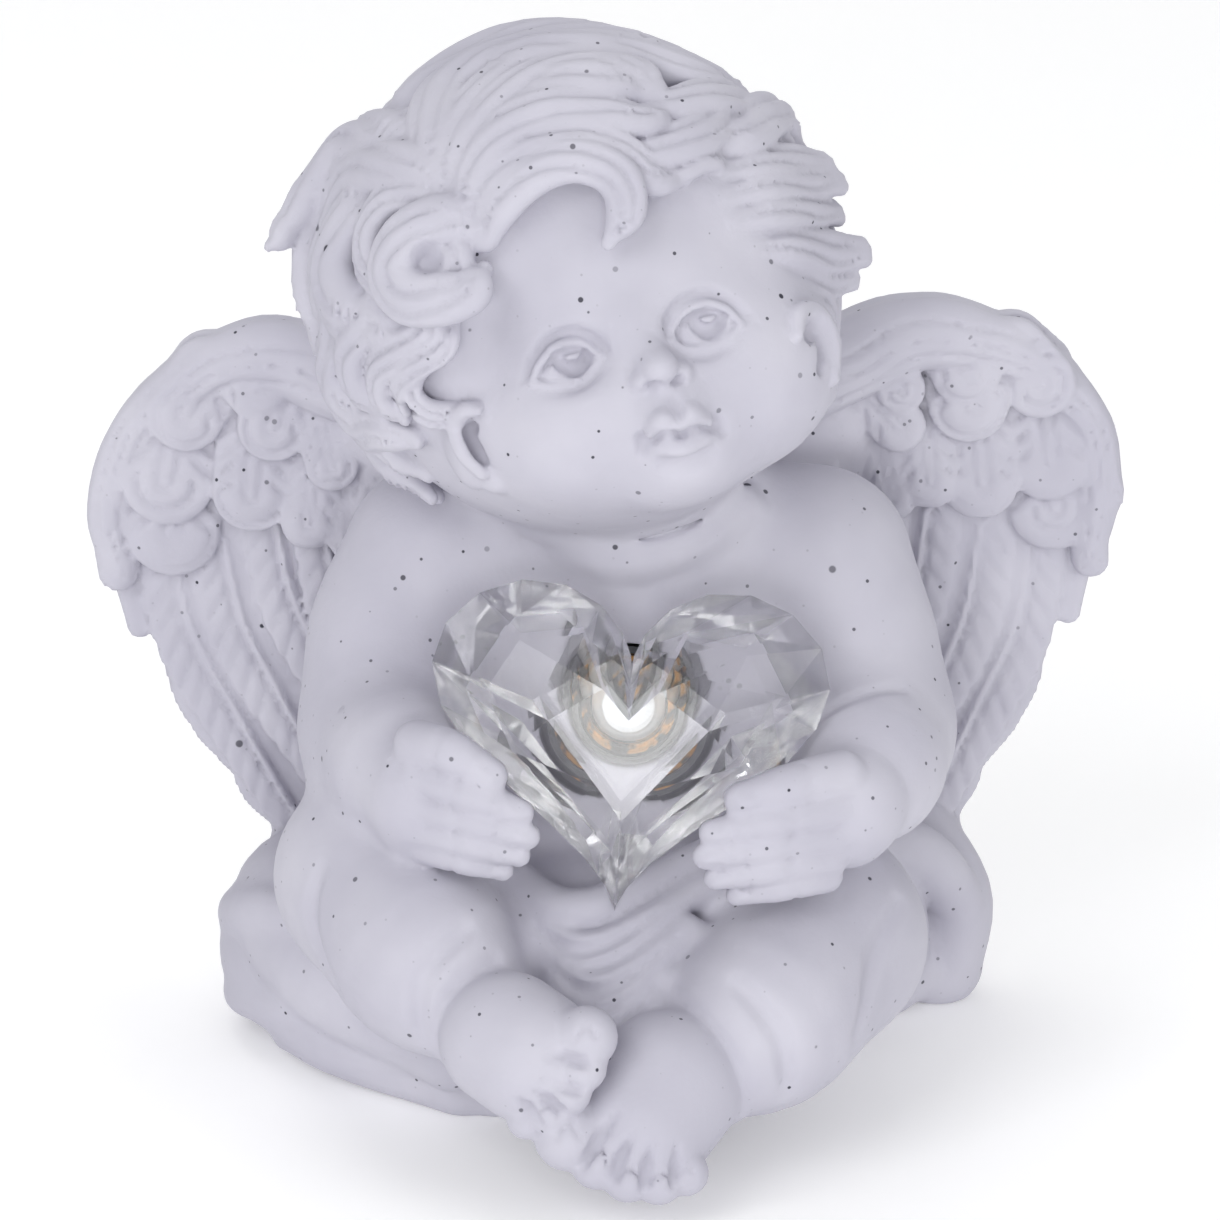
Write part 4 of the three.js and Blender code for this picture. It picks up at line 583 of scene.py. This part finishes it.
def hair(clay):
    window = clay.window(HEAD_CENTRE - HAIR_REACH, HEAD_CENTRE + HAIR_REACH)
    cap = Clay(*(a[w] for a, w in zip(clay.axes, window)))
    head_egg(cap, *SCALP_CENTRE, *(SCALP - 0.2))
    cap.ball(on_head(-2, -34, -7), 24.6, 4, cut=True)
    clay.change(window, cap.field, 4, False)
    # Rows of locks round the sides and back, each row from under the one above it
    rows = [(-10, 12, 86, 276), (12, 14, 82, 280), (34, 14, 78, 284), (56, 12, 72, 290), (76, 8, 70, 300)]
    for r, (height, count, start, end) in enumerate(rows):
        for i in range(count):
            azimuth = start + (end - start) * (i + 0.5 * (r % 2)) / count
            sway = 8 if (i + r) % 3 else -6
            lock(clay, [(azimuth, height + 10, -0.6), (azimuth + sway, height - 3, 0.5),
                        (azimuth - 0.3 * sway, height - 15, 1), (azimuth + 0.8 * sway, height - 28, 1.3)],
                 [2.6, 3.9, 3.6, 1.3])
    # The crown, from the parting over to the far side, then the bands that sweep over the forehead
    crown = [
        ([(-85, 50, 0), (-84, 68, 1.2), (-30, 84, 1.6), (60, 76, 1.4), (77, 52, 0.8), (80, 38, 0)],
         [2.5, 4, 4.4, 4.2, 3.6, 2]),
        ([(-60, 56, 0), (-40, 72, 0.6), (30, 72, 1), (56, 58, 1.2), (62, 44, 0.6)], [2, 4, 4.4, 4, 2]),
        ([(-30, 58, 0), (4, 66, 1), (34, 60, 1), (52, 48, 0.6)], [3, 4.6, 4.6, 3]),
        ([(-14, 50, 0), (6, 50, 1.4), (20, 47, 1.8), (32, 42, 1.2)], [2.6, 4, 4.2, 3]),
        ([(-33, 30, 0), (-36, 45, 0.8), (-43, 62, 1), (-20, 72, 1.2), (40, 62, 1.2), (64, 50, 1)],
         [2.4, 4, 4.2, 4, 3.8, 2.4]),
        ([(-31, 28, 0), (-29, 40, 1), (-20, 54, 1.2), (10, 63, 1.4), (44, 55, 1.6), (60, 42, 1.6),
          (78, 30, 1.2)], [2.4, 3.6, 3.6, 3.4, 3.4, 3.2, 2]),
        ([(-30, 24, 0), (-25, 36, 1.2), (-16, 46, 1.8), (0, 53, 2), (20, 52, 2.1), (33, 46, 2.2),
          (34, 41, 1.8)], [2, 3, 3.3, 3.2, 3, 2.8, 2.2]),
        ([(26, 38, 0.4), (37, 35, 1.6), (50, 34, 2), (66, 33, 1.6), (78, 30, 1)], [2, 2.6, 3, 2.8, 1.6]),
        ([(-28, 20, 0.2), (-23, 32, 1.4), (-13, 39, 2), (1, 41, 2.3), (14, 36, 2.3), (24, 32, 2.2),
          (34, 34, 1.4)], [2, 3, 3.4, 3.2, 3, 2.4, 1.2]),
        ([(12, 27, 0.4), (24, 24, 1.6), (36, 25, 2), (50, 29, 1.4), (60, 31, 0.6)],
         [1.8, 2.6, 2.8, 2.4, 1.4]),
        ([(-27, 19, 0), (-19, 28, 1.4), (-7, 32, 2), (6, 31, 2.2), (14, 25, 2.2), (19, 18, 1.8),
          (28, 17, 0.8)], [2, 2.8, 3, 2.9, 2.6, 2.2, 1.1]),
        ([(18, 21, 0.4), (27, 19, 1.4), (35, 20, 1.6), (42, 17, 0.8)], [1.3, 1.9, 2, 1.1]),
        ([(-24, 17, 0), (-16, 23, 1.6), (-5, 26.5, 2.6), (4, 25, 3), (10, 19, 3.2), (9.5, 12, 3.2),
          (4, 6.5, 1.6)], [2, 2.7, 2.8, 2.7, 2.6, 2.3, 0.9]),
    ]
    # The cherub's left temple: a blunt lock, the fan, the flick over the ear, and wisps in front of it
    left_temple = [
        ([(42, 24, 0.6), (54, 23, 1.6), (68, 26, 2.4), (80, 25, 3.2), (82, 18, 2.6)], [2.2, 3, 3.2, 3, 2]),
        ([(40, 17, 0.4), (54, 15, 1.6), (68, 14, 2.4), (81, 11, 4.6)], [1.6, 2.3, 2.4, 1.8]),
        ([(38, 11, 0.2), (52, 10, 1.6), (68, 9, 2.4), (82, 7, 5)], [1.6, 2.2, 2.3, 1.8]),
        ([(38, 5, 0), (51, 4, 1.4), (67, 3, 2), (82, 1, 3.6)], [1.5, 2.2, 2.3, 1.7]),
        ([(42, -2, 0), (54, -5, 1.4), (70, -7, 2.2), (82, -8, 5.6)], [1.5, 2.4, 2.7, 1.9]),
        ([(44, -7, -0.2), (55, -11, 1), (72, -13, 1.8), (82, -13, 4.2)], [1.3, 2.1, 2.3, 1.6]),
        ([(46, -11, -0.6), (50, -17, 0.4), (51, -24, 0)], [1, 1.5, 0.9]),
        ([(58, -14, 0), (70, -18, 1.4), (80, -24, 1.6), (82, -33, 0.6)], [1.6, 2.4, 2.3, 1.4]),
    ]
    # The cherub's right side: the outer flick, two long locks, the curl round its hole, and the side locks
    right_side = [
        ([(-44, 42, 0), (-70, 50, 1.2), (-90, 48, 3), (-92, 37, 4.6), (-92, 29, 6.4), (-92, 25, 8)],
         [3, 4.4, 4.5, 3.8, 2.6, 1]),
        ([(-42, 38, 0), (-70, 46, 1.2), (-94, 44, 2.6), (-104, 34, 3.2)], [3, 4.2, 4.2, 2.4]),
        ([(-86, 46, 2), (-95, 33, 3.4), (-97, 19, 3.2), (-95, 5, 2.4)], [3, 3.6, 3.2, 1.8]),
        ([(-31, 28, 0), (-40, 36, 1.2), (-54, 40, 1.8), (-74, 42, 1.8), (-88, 34, 2), (-92, 22, 1.8),
          (-80, 10, 1.4)], [2.2, 3.2, 3.4, 3.4, 3.3, 3.2, 2]),
        ([(-58, 36, 0.4), (-70, 30, 1.2), (-75, 20, 1.6), (-70, 11, 1.6), (-58, 3, 1)],
         [2.4, 4, 4.4, 4, 2.6]),
        ([(-66, 12, 0.4), (-56, 5, 0.8), (-48, 0, 0.4)], [2.6, 3.6, 2.4]),
        ([(-31, 25, 0.2), (-40, 31, 1.4), (-50, 31, 2), (-57, 25, 2), (-57, 18, 1.8), (-51, 12, 1.6),
          (-44, 5, 1.4), (-38, 1, 0.6)], [1.8, 2.3, 2.4, 2.4, 2.3, 2.2, 2, 1.2]),
        ([(-40, 20, 0), (-35, 14, 0.4), (-32, 9, 0.2)], [3, 3.4, 2.4]),
        ([(-25, 20, 0.4), (-35, 22.5, 1.8), (-43, 19.5, 2.6), (-47, 14, 2.8), (-44, 8, 2.8), (-36.5, 5, 2.6),
          (-29, 4.5, 2), (-25.5, 8.5, 0.8)], [2, 3.1, 3.4, 3.4, 3.3, 3.1, 2.6, 1.2]),
        ([(-50, 8, 0), (-60, 6, 1.2), (-70, 1, 1.6), (-74, -6, 1.4), (-71, -13, 0.8)], [1.8, 3, 3.2, 3, 1.8]),
        ([(-38, 3, 0), (-43, -1, 1.4), (-52, -3, 1.8), (-61, -6, 1.8), (-66, -12, 1.4), (-64, -18, 0.6)],
         [1.2, 1.9, 2.2, 2.2, 2, 1.1]),
        ([(-37, 0, 0), (-40, -5, 1.2), (-49, -7, 1.8), (-56, -10, 1.6), (-60, -16, 1)],
         [1.1, 1.8, 2, 1.9, 1.1]),
        ([(-71, 8, 0), (-86, 1, 1.6), (-94, -7, 1.8), (-90, -15, 1.4), (-76, -19, 1), (-66, -24, 0.4)],
         [2.2, 3.2, 3.4, 3.2, 2.6, 1.4]),
        ([(-42, -6, 0.2), (-50, -8, 1.2), (-55, -13, 1.4), (-52, -19, 1.2), (-40, -21.5, 0)],
         [1, 1.7, 1.9, 1.8, 0.8]),
        ([(-84, -4, 0), (-88, -14, 1), (-86, -24, 0.8), (-84, -34, 0)], [2, 3, 2.6, 1.2]),
    ]
    for places, radii in crown + left_temple + right_side:
        lock(clay, places, radii)
    clay.ball(on_scalp(-36, 14, 3.4), 1.7, 0.8, cut=True)
    clay.ball(on_scalp(-44, -12.5, 1.2), 0.8, 1.2, cut=True)
    clay.ball(on_scalp(-57, -16, 1), 0.9, 1.2, cut=True)


def ears(clay):
    """Each is a low swelling with a rim bent round a hollow, and a lobe under it."""
    pair = [
        dict(middle=(-21.6, -11, -9.6), lobe=(-19.8, -12.4, -13.8),
             rim=[(-20.2, -6.2), (-21.4, -5.8), (-22.6, -7.2), (-22.7, -10), (-21.2, -13)],
             hollow=[(-20.8, -7.8), (-21.4, -8.4), (-21.2, -10.2), (-20.6, -11.4)]),
        dict(middle=(18.6, -11.8, -9.8), lobe=(18, -12, -14.4),
             rim=[(15.8, -8), (16.8, -5.8), (19, -6), (20.2, -9), (19, -13.6)],
             hollow=[(17, -8.6), (18, -8), (18.4, -10), (17.4, -12.2)]),
    ]
    way = HEAD_TURN @ BACK
    for ear in pair:
        head_egg(clay, *ear["middle"], 2.6, 4.2, 5, 0.6)
        head_egg(clay, *ear["lobe"], 1.6, 2, 1.8, 0.8)
        rim, hollow = ([clay.skin(on_head(x, BEFORE_FACE, z), way, lift) for x, z in ear[part]]
                       for part, lift in (("rim", 0.4), ("hollow", -0.6)))
        clay.rope(rim, [0.7, 1, 1.1, 1, 0.8], 0.4)
        clay.rope(hollow, [0.7, 1, 1.1, 0.7], 0.6, cut=True)


# The block of clay, whose grid is finest over the face
clay = Clay(marks(-66, 64, -30, 32), marks(-54, 48, -53, 2), marks(-1.5, 130, 70, 130))
body(clay)
cloth(clay)
legs(clay)
feet(clay)
for side in SIDES:
    wing(clay, side)
arms(clay)
hands(clay)
face(clay)
hair(clay)
ears(clay)

# The seat: the heart's own form, a little larger, and the lamp's pocket behind it, on one axis that
# leans back
SEAT_GAP = 0.35
HEART_HEIGHT = 37
HEART_THICKNESS = 17
HEART_LEAN_DEG = 16
HEART_TILT_DEG = 4
HEART_TURN = (np.array(Matrix.Rotation(math.radians(-HEART_LEAN_DEG), 3, "X"))
              @ np.array(Matrix.Rotation(math.radians(HEART_TILT_DEG), 3, "Y")))
SEAT_REACH = 30
LAMP_RADIUS = 6.5
LAMP_RAISE = 4.4
LAMP_DEPTH = 6


def heart_outline(count):
    t = 2 * math.pi * np.arange(count) / count
    x = 16 * np.sin(t) ** 3 * HEART_WIDTH / 32
    high = 13 * np.cos(t) - 5 * np.cos(2 * t) - 2 * np.cos(3 * t) - np.cos(4 * t)
    return np.stack((x, (high + 2.5) * HEART_HEIGHT / 29), axis=1)


def seat(clay):
    window = clay.window(HEART_CENTRE - SEAT_REACH, HEART_CENTRE + SEAT_REACH)
    x, y, z = clay.grid(window)
    x, y, z = x - HEART_CENTRE[0], y - HEART_CENTRE[1], z - HEART_CENTRE[2]
    x, y, z = (HEART_TURN[0][i] * x + HEART_TURN[1][i] * y + HEART_TURN[2][i] * z for i in range(3))
    half = HEART_THICKNESS / 2 + SEAT_GAP
    share = np.interp(np.abs(y), [0, 0.05 * half, 0.62 * half, half], [1, 1, 0.72, 0.4])
    share = share * (1 + 2 * SEAT_GAP / HEART_WIDTH)
    u, v = x / share, z / share
    ring = heart_outline(64)
    away = np.full(u.shape, 1e9, dtype=np.float32)
    inside = np.zeros(u.shape, dtype=bool)
    for a, b in zip(ring, np.roll(ring, -1, axis=0)):
        step = b - a
        t = np.clip(((u - a[0]) * step[0] + (v - a[1]) * step[1]) / (step @ step), 0, 1)
        away = np.minimum(away, np.hypot(u - a[0] - step[0] * t, v - a[1] - step[1] * t))
        if a[1] != b[1]:
            crosses = (a[1] > v) != (b[1] > v)
            inside ^= crosses & (u < (b[0] - a[0]) * (v - a[1]) / (b[1] - a[1]) + a[0])
    heart = np.maximum(np.where(inside, -away, away) * share * 0.75, np.abs(y) - half)
    back = HEART_THICKNESS / 2 + SEAT_GAP + LAMP_DEPTH
    round_lamp = np.hypot(x, z - LAMP_RAISE) - LAMP_RADIUS - SEAT_GAP
    lamp = np.maximum(round_lamp, np.maximum(-y, y - back - SEAT_GAP))
    clay.change(window, np.minimum(heart, lamp).astype(np.float32), 0, True)


seat(clay)
clay.field = np.maximum(clay.field, -clay.axes[2][None, None, :])
for edge in (0, -1):
    clay.field[edge] = clay.field[:, edge] = clay.field[:, :, edge] = FAR


def mesh_of(clay, name, faces):
    """The clay's surface as one mesh in metres, thinned where it is plain."""
    grid = openvdb.FloatGrid(FAR)
    grid.copyFromArray(np.ascontiguousarray(clay.field))
    points, triangles, quads = grid.convertToPolygons(isovalue=0.0, adaptivity=0.0)
    places = [np.interp(points[:, i], np.arange(len(a)), a) for i, a in enumerate(clay.axes)]
    places = np.stack(places, axis=1)
    mesh = bpy.data.meshes.new(name)
    corners = np.concatenate((triangles.ravel(), quads.ravel())).astype(np.int32)
    sizes = np.concatenate((np.full(len(triangles), 3), np.full(len(quads), 4))).astype(np.int32)
    mesh.vertices.add(len(places))
    mesh.vertices.foreach_set("co", (places / 1000).astype(np.float32).ravel())
    mesh.loops.add(len(corners))
    mesh.loops.foreach_set("vertex_index", corners)
    mesh.polygons.add(len(sizes))
    mesh.polygons.foreach_set("loop_start", np.concatenate(([0], np.cumsum(sizes)[:-1])).astype(np.int32))
    mesh.update(calc_edges=True)
    piece = bpy.data.objects.new(name, mesh)
    bpy.context.scene.collection.objects.link(piece)
    whole = len(triangles) + 2 * len(quads)
    if whole > faces:
        thin = piece.modifiers.new("thin", "DECIMATE")
        thin.ratio = faces / whole
        thin.use_collapse_triangulate = True
        graph = bpy.context.evaluated_depsgraph_get()
        thinned = bpy.data.meshes.new_from_object(piece.evaluated_get(graph))
        piece.modifiers.clear()
        piece.data = thinned
    piece.data.shade_smooth()
    return piece


cherub = mesh_of(clay, "cherub", FACES)


def shader_of(material):
    material.use_nodes = True
    return material.node_tree.nodes["Principled BSDF"]


RESIN = (0.53, 0.52, 0.585, 1)
RESIN_DEEP = (0.47, 0.46, 0.53, 1)
# Painted shade: the deep grey that creases and hollow places are darkened toward
RESIN_PAINTED_SHADE_IN_HOLLOWS = (0.27, 0.26, 0.31, 1)
SPECK = (0.035, 0.034, 0.05, 1)


def speckled_resin():
    """Matt cast resin: two close greys, painted shade that darkens the creases and hollow places, three sizes
    of dark speck over many faint ones, and a fine grain from the mould."""
    material = bpy.data.materials.new("speckled_resin")
    shader = shader_of(material)
    tree = material.node_tree
    place = tree.nodes.new("ShaderNodeTexCoord").outputs["Object"]

    def noise(scale, detail=3):
        node = tree.nodes.new("ShaderNodeTexNoise")
        node.inputs["Scale"].default_value = scale
        node.inputs["Detail"].default_value = detail
        tree.links.new(place, node.inputs["Vector"])
        return node.outputs["Fac"]

    def spread(value, low, high, to_low, to_high):
        node = tree.nodes.new("ShaderNodeMapRange")
        for name, number in zip(("From Min", "From Max", "To Min", "To Max"), (low, high, to_low, to_high)):
            node.inputs[name].default_value = number
        tree.links.new(value, node.inputs["Value"])
        return node.outputs["Result"]

    def maths(kind, a, b):
        node = tree.nodes.new("ShaderNodeMath")
        node.operation = kind
        for i, value in enumerate((a, b)):
            if isinstance(value, (int, float)):
                node.inputs[i].default_value = value
            else:
                tree.links.new(value, node.inputs[i])
        return node.outputs["Value"]

    def mixed(factor, a, b):
        node = tree.nodes.new("ShaderNodeMix")
        node.data_type = "RGBA"
        tree.links.new(factor, node.inputs[0])
        for i, colour in ((6, a), (7, b)):
            if isinstance(colour, tuple):
                node.inputs[i].default_value = colour
            else:
                tree.links.new(colour, node.inputs[i])
        return node.outputs[2]

    def specks(cell_mm, radius, share):
        node = tree.nodes.new("ShaderNodeTexVoronoi")
        node.inputs["Scale"].default_value = 1000 / cell_mm
        tree.links.new(place, node.inputs["Vector"])
        parts = tree.nodes.new("ShaderNodeSeparateColor")
        tree.links.new(node.outputs["Color"], parts.inputs["Color"])
        strength = spread(parts.outputs["Green"], 0, 1, 0.4, 1)
        spot = maths("MULTIPLY", spread(node.outputs["Distance"], radius, radius * 0.7, 0, 1), strength)
        return maths("MULTIPLY", spot, maths("LESS_THAN", parts.outputs["Red"], share))

    base = mixed(spread(noise(60), 0.35, 0.65, 0, 1), RESIN, RESIN_DEEP)
    # Painted shade: concave places, found by the mesh's pointiness, are darkened toward the deep grey as if
    # they fell into shade
    painted_hollow_shade = spread(tree.nodes.new("ShaderNodeNewGeometry").outputs["Pointiness"], 0.38, 0.49, 0.6, 0)
    base = mixed(painted_hollow_shade, base, RESIN_PAINTED_SHADE_IN_HOLLOWS)
    dots = maths("MAXIMUM", specks(2.6, 0.095, 0.75), specks(5.2, 0.07, 0.7))
    dots = maths("MAXIMUM", dots, specks(12, 0.044, 0.6))
    faint = maths("MULTIPLY", specks(1.7, 0.1, 0.4), 0.25)
    shade = mixed(maths("MAXIMUM", dots, faint), base, SPECK)
    tree.links.new(shade, shader.inputs["Base Color"])
    tree.links.new(spread(noise(400), 0.3, 0.7, 0.62, 0.8), shader.inputs["Roughness"])
    bump = tree.nodes.new("ShaderNodeBump")
    bump.inputs["Strength"].default_value = 0.25
    bump.inputs["Distance"].default_value = 0.00012
    tree.links.new(noise(1400, 4), bump.inputs["Height"])
    tree.links.new(bump.outputs["Normal"], shader.inputs["Normal"])
    shader.inputs["Specular IOR Level"].default_value = 0.35
    return material


cherub.data.materials.clear()
cherub.data.materials.append(speckled_resin())
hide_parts("figure")
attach(cherub, "root")

# The heart: clear crystal, ground in flat facets on both faces round a thin girdle, glued in its seat.
# Its solid has the real facets, so it stays and takes the glass.
crystal = bpy.data.materials.new("clear_crystal")
shader = shader_of(crystal)
shader.inputs["Base Color"].default_value = (1.0, 1.0, 1.0, 1)
shader.inputs["Roughness"].default_value = 0.0
shader.inputs["IOR"].default_value = 1.52
shader.inputs["Transmission Weight"].default_value = 1.0
shader.inputs["Alpha"].default_value = 0.75


def dress(name, material):
    piece = bpy.context.scene.objects[name]
    piece.data.materials.clear()
    piece.data.materials.append(material)


dress("heart_crystal", crystal)


# The lamp behind the heart: a moulded dark cup, an amber ring in it, and a frosted dome in the middle. How
# they are fixed isn't seen; here they stand in the seat's pocket. Their solids stay and take the materials.
AMBER = (0.5, 0.24, 0.04)
STAIN = (0.05, 0.04, 0.04)


def plain(name, colour, roughness):
    material = bpy.data.materials.new(name)
    shader = shader_of(material)
    shader.inputs["Base Color"].default_value = (*colour, 1)
    shader.inputs["Roughness"].default_value = roughness
    return material


dress("lamp_cup", plain("dark_plastic", (0.03, 0.03, 0.035), 0.4))


def stained_amber():
    """Amber plastic with dark stains, as the lamp's ring shows through the facets."""
    material = plain("stained_amber", AMBER, 0.35)
    tree = material.node_tree
    noise = tree.nodes.new("ShaderNodeTexNoise")
    noise.inputs["Scale"].default_value = 420
    noise.inputs["Detail"].default_value = 2
    tree.links.new(tree.nodes.new("ShaderNodeTexCoord").outputs["Object"], noise.inputs["Vector"])
    ramp = tree.nodes.new("ShaderNodeValToRGB")
    for stop, position, colour in zip(ramp.color_ramp.elements, (0.44, 0.52), (STAIN, AMBER)):
        stop.position = position
        stop.color = (*colour, 1)
    tree.links.new(noise.outputs["Fac"], ramp.inputs["Fac"])
    tree.links.new(ramp.outputs["Color"], shader_of(material).inputs["Base Color"])
    return material


dress("lamp_ring", stained_amber())
dress("lamp_lens", plain("frosted_plastic", (0.85, 0.88, 0.9), 0.45))

# The studio: a white floor that runs up into a white wall, soft lamps high on the left, above, on the right
# and low in front, and the camera at the photograph's height.
FLOOR_FRONT = -1.2
BEND_START = 0.9
BEND_RADIUS = 0.5
WALL_TOP = 2.0
HALF_WIDTH = 2.0
bend = [(BEND_START + BEND_RADIUS * math.sin(a), BEND_RADIUS - BEND_RADIUS * math.cos(a))
        for a in np.linspace(0.1, math.pi / 2, 12)]
sweep = [(FLOOR_FRONT, 0), (BEND_START, 0)] + bend + [(BEND_START + BEND_RADIUS, WALL_TOP)]
stage_points = [(x, y, z) for x in (-HALF_WIDTH, HALF_WIDTH) for y, z in sweep]
n = len(sweep)
stage_mesh = bpy.data.meshes.new("studio_floor")
stage_mesh.from_pydata(stage_points, [], [(i, i + n, i + n + 1, i + 1) for i in range(n - 1)])
stage_mesh.shade_smooth()
studio = bpy.data.objects.new("studio_floor", stage_mesh)
bpy.context.scene.collection.objects.link(studio)
white_paper = plain("white_paper", (0.94, 0.94, 0.94), 0.9)
shader_of(white_paper).inputs["Emission Color"].default_value = (1, 1, 1, 1)
shader_of(white_paper).inputs["Emission Strength"].default_value = 0.16
studio.data.materials.append(white_paper)

world = bpy.data.worlds.new("studio_light")
world.use_nodes = True
sky = world.node_tree.nodes["Background"]
sky.inputs["Color"].default_value = (0.98, 0.985, 1.0, 1)
sky.inputs["Strength"].default_value = 0.52
bpy.context.scene.world = world
LIT_PLACE = Vector((0, 0, 0.06))


def soft_lamp(name, place, size, energy):
    light = bpy.data.lights.new(name, "AREA")
    light.energy = energy
    light.size = size
    lamp = bpy.data.objects.new(name, light)
    lamp.location = place
    lamp.rotation_euler = (LIT_PLACE - Vector(place)).to_track_quat("-Z", "Y").to_euler()
    bpy.context.scene.collection.objects.link(lamp)


soft_lamp("key_softbox", (-0.6, -0.8, 0.85), 0.7, 4.1)
soft_lamp("top_softbox", (-0.1, 0.25, 1.0), 0.6, 2.1)
soft_lamp("fill_softbox", (0.9, -0.65, 0.45), 0.8, 2.6)
soft_lamp("front_softbox", (-0.1, -1.2, 0.0), 0.7, 9.6)

CAMERA_DISTANCE = 0.75
CAMERA_RISE_DEG = 20
SENSOR_MM = 36
LENS_MM = 191.6
LOOKED_AT = Vector((0, 0, 0.0554))
camera = bpy.data.objects.new("camera", bpy.data.cameras.new("camera"))
rise = math.radians(CAMERA_RISE_DEG)
camera.location = LOOKED_AT + Vector((0, -math.cos(rise), math.sin(rise))) * CAMERA_DISTANCE
camera.rotation_euler = (math.pi / 2 - rise, 0, 0)
camera.data.sensor_width = SENSOR_MM
camera.data.lens = LENS_MM
bpy.context.scene.collection.objects.link(camera)
bpy.context.scene.camera = camera
bpy.context.scene.view_settings.view_transform = "Standard"
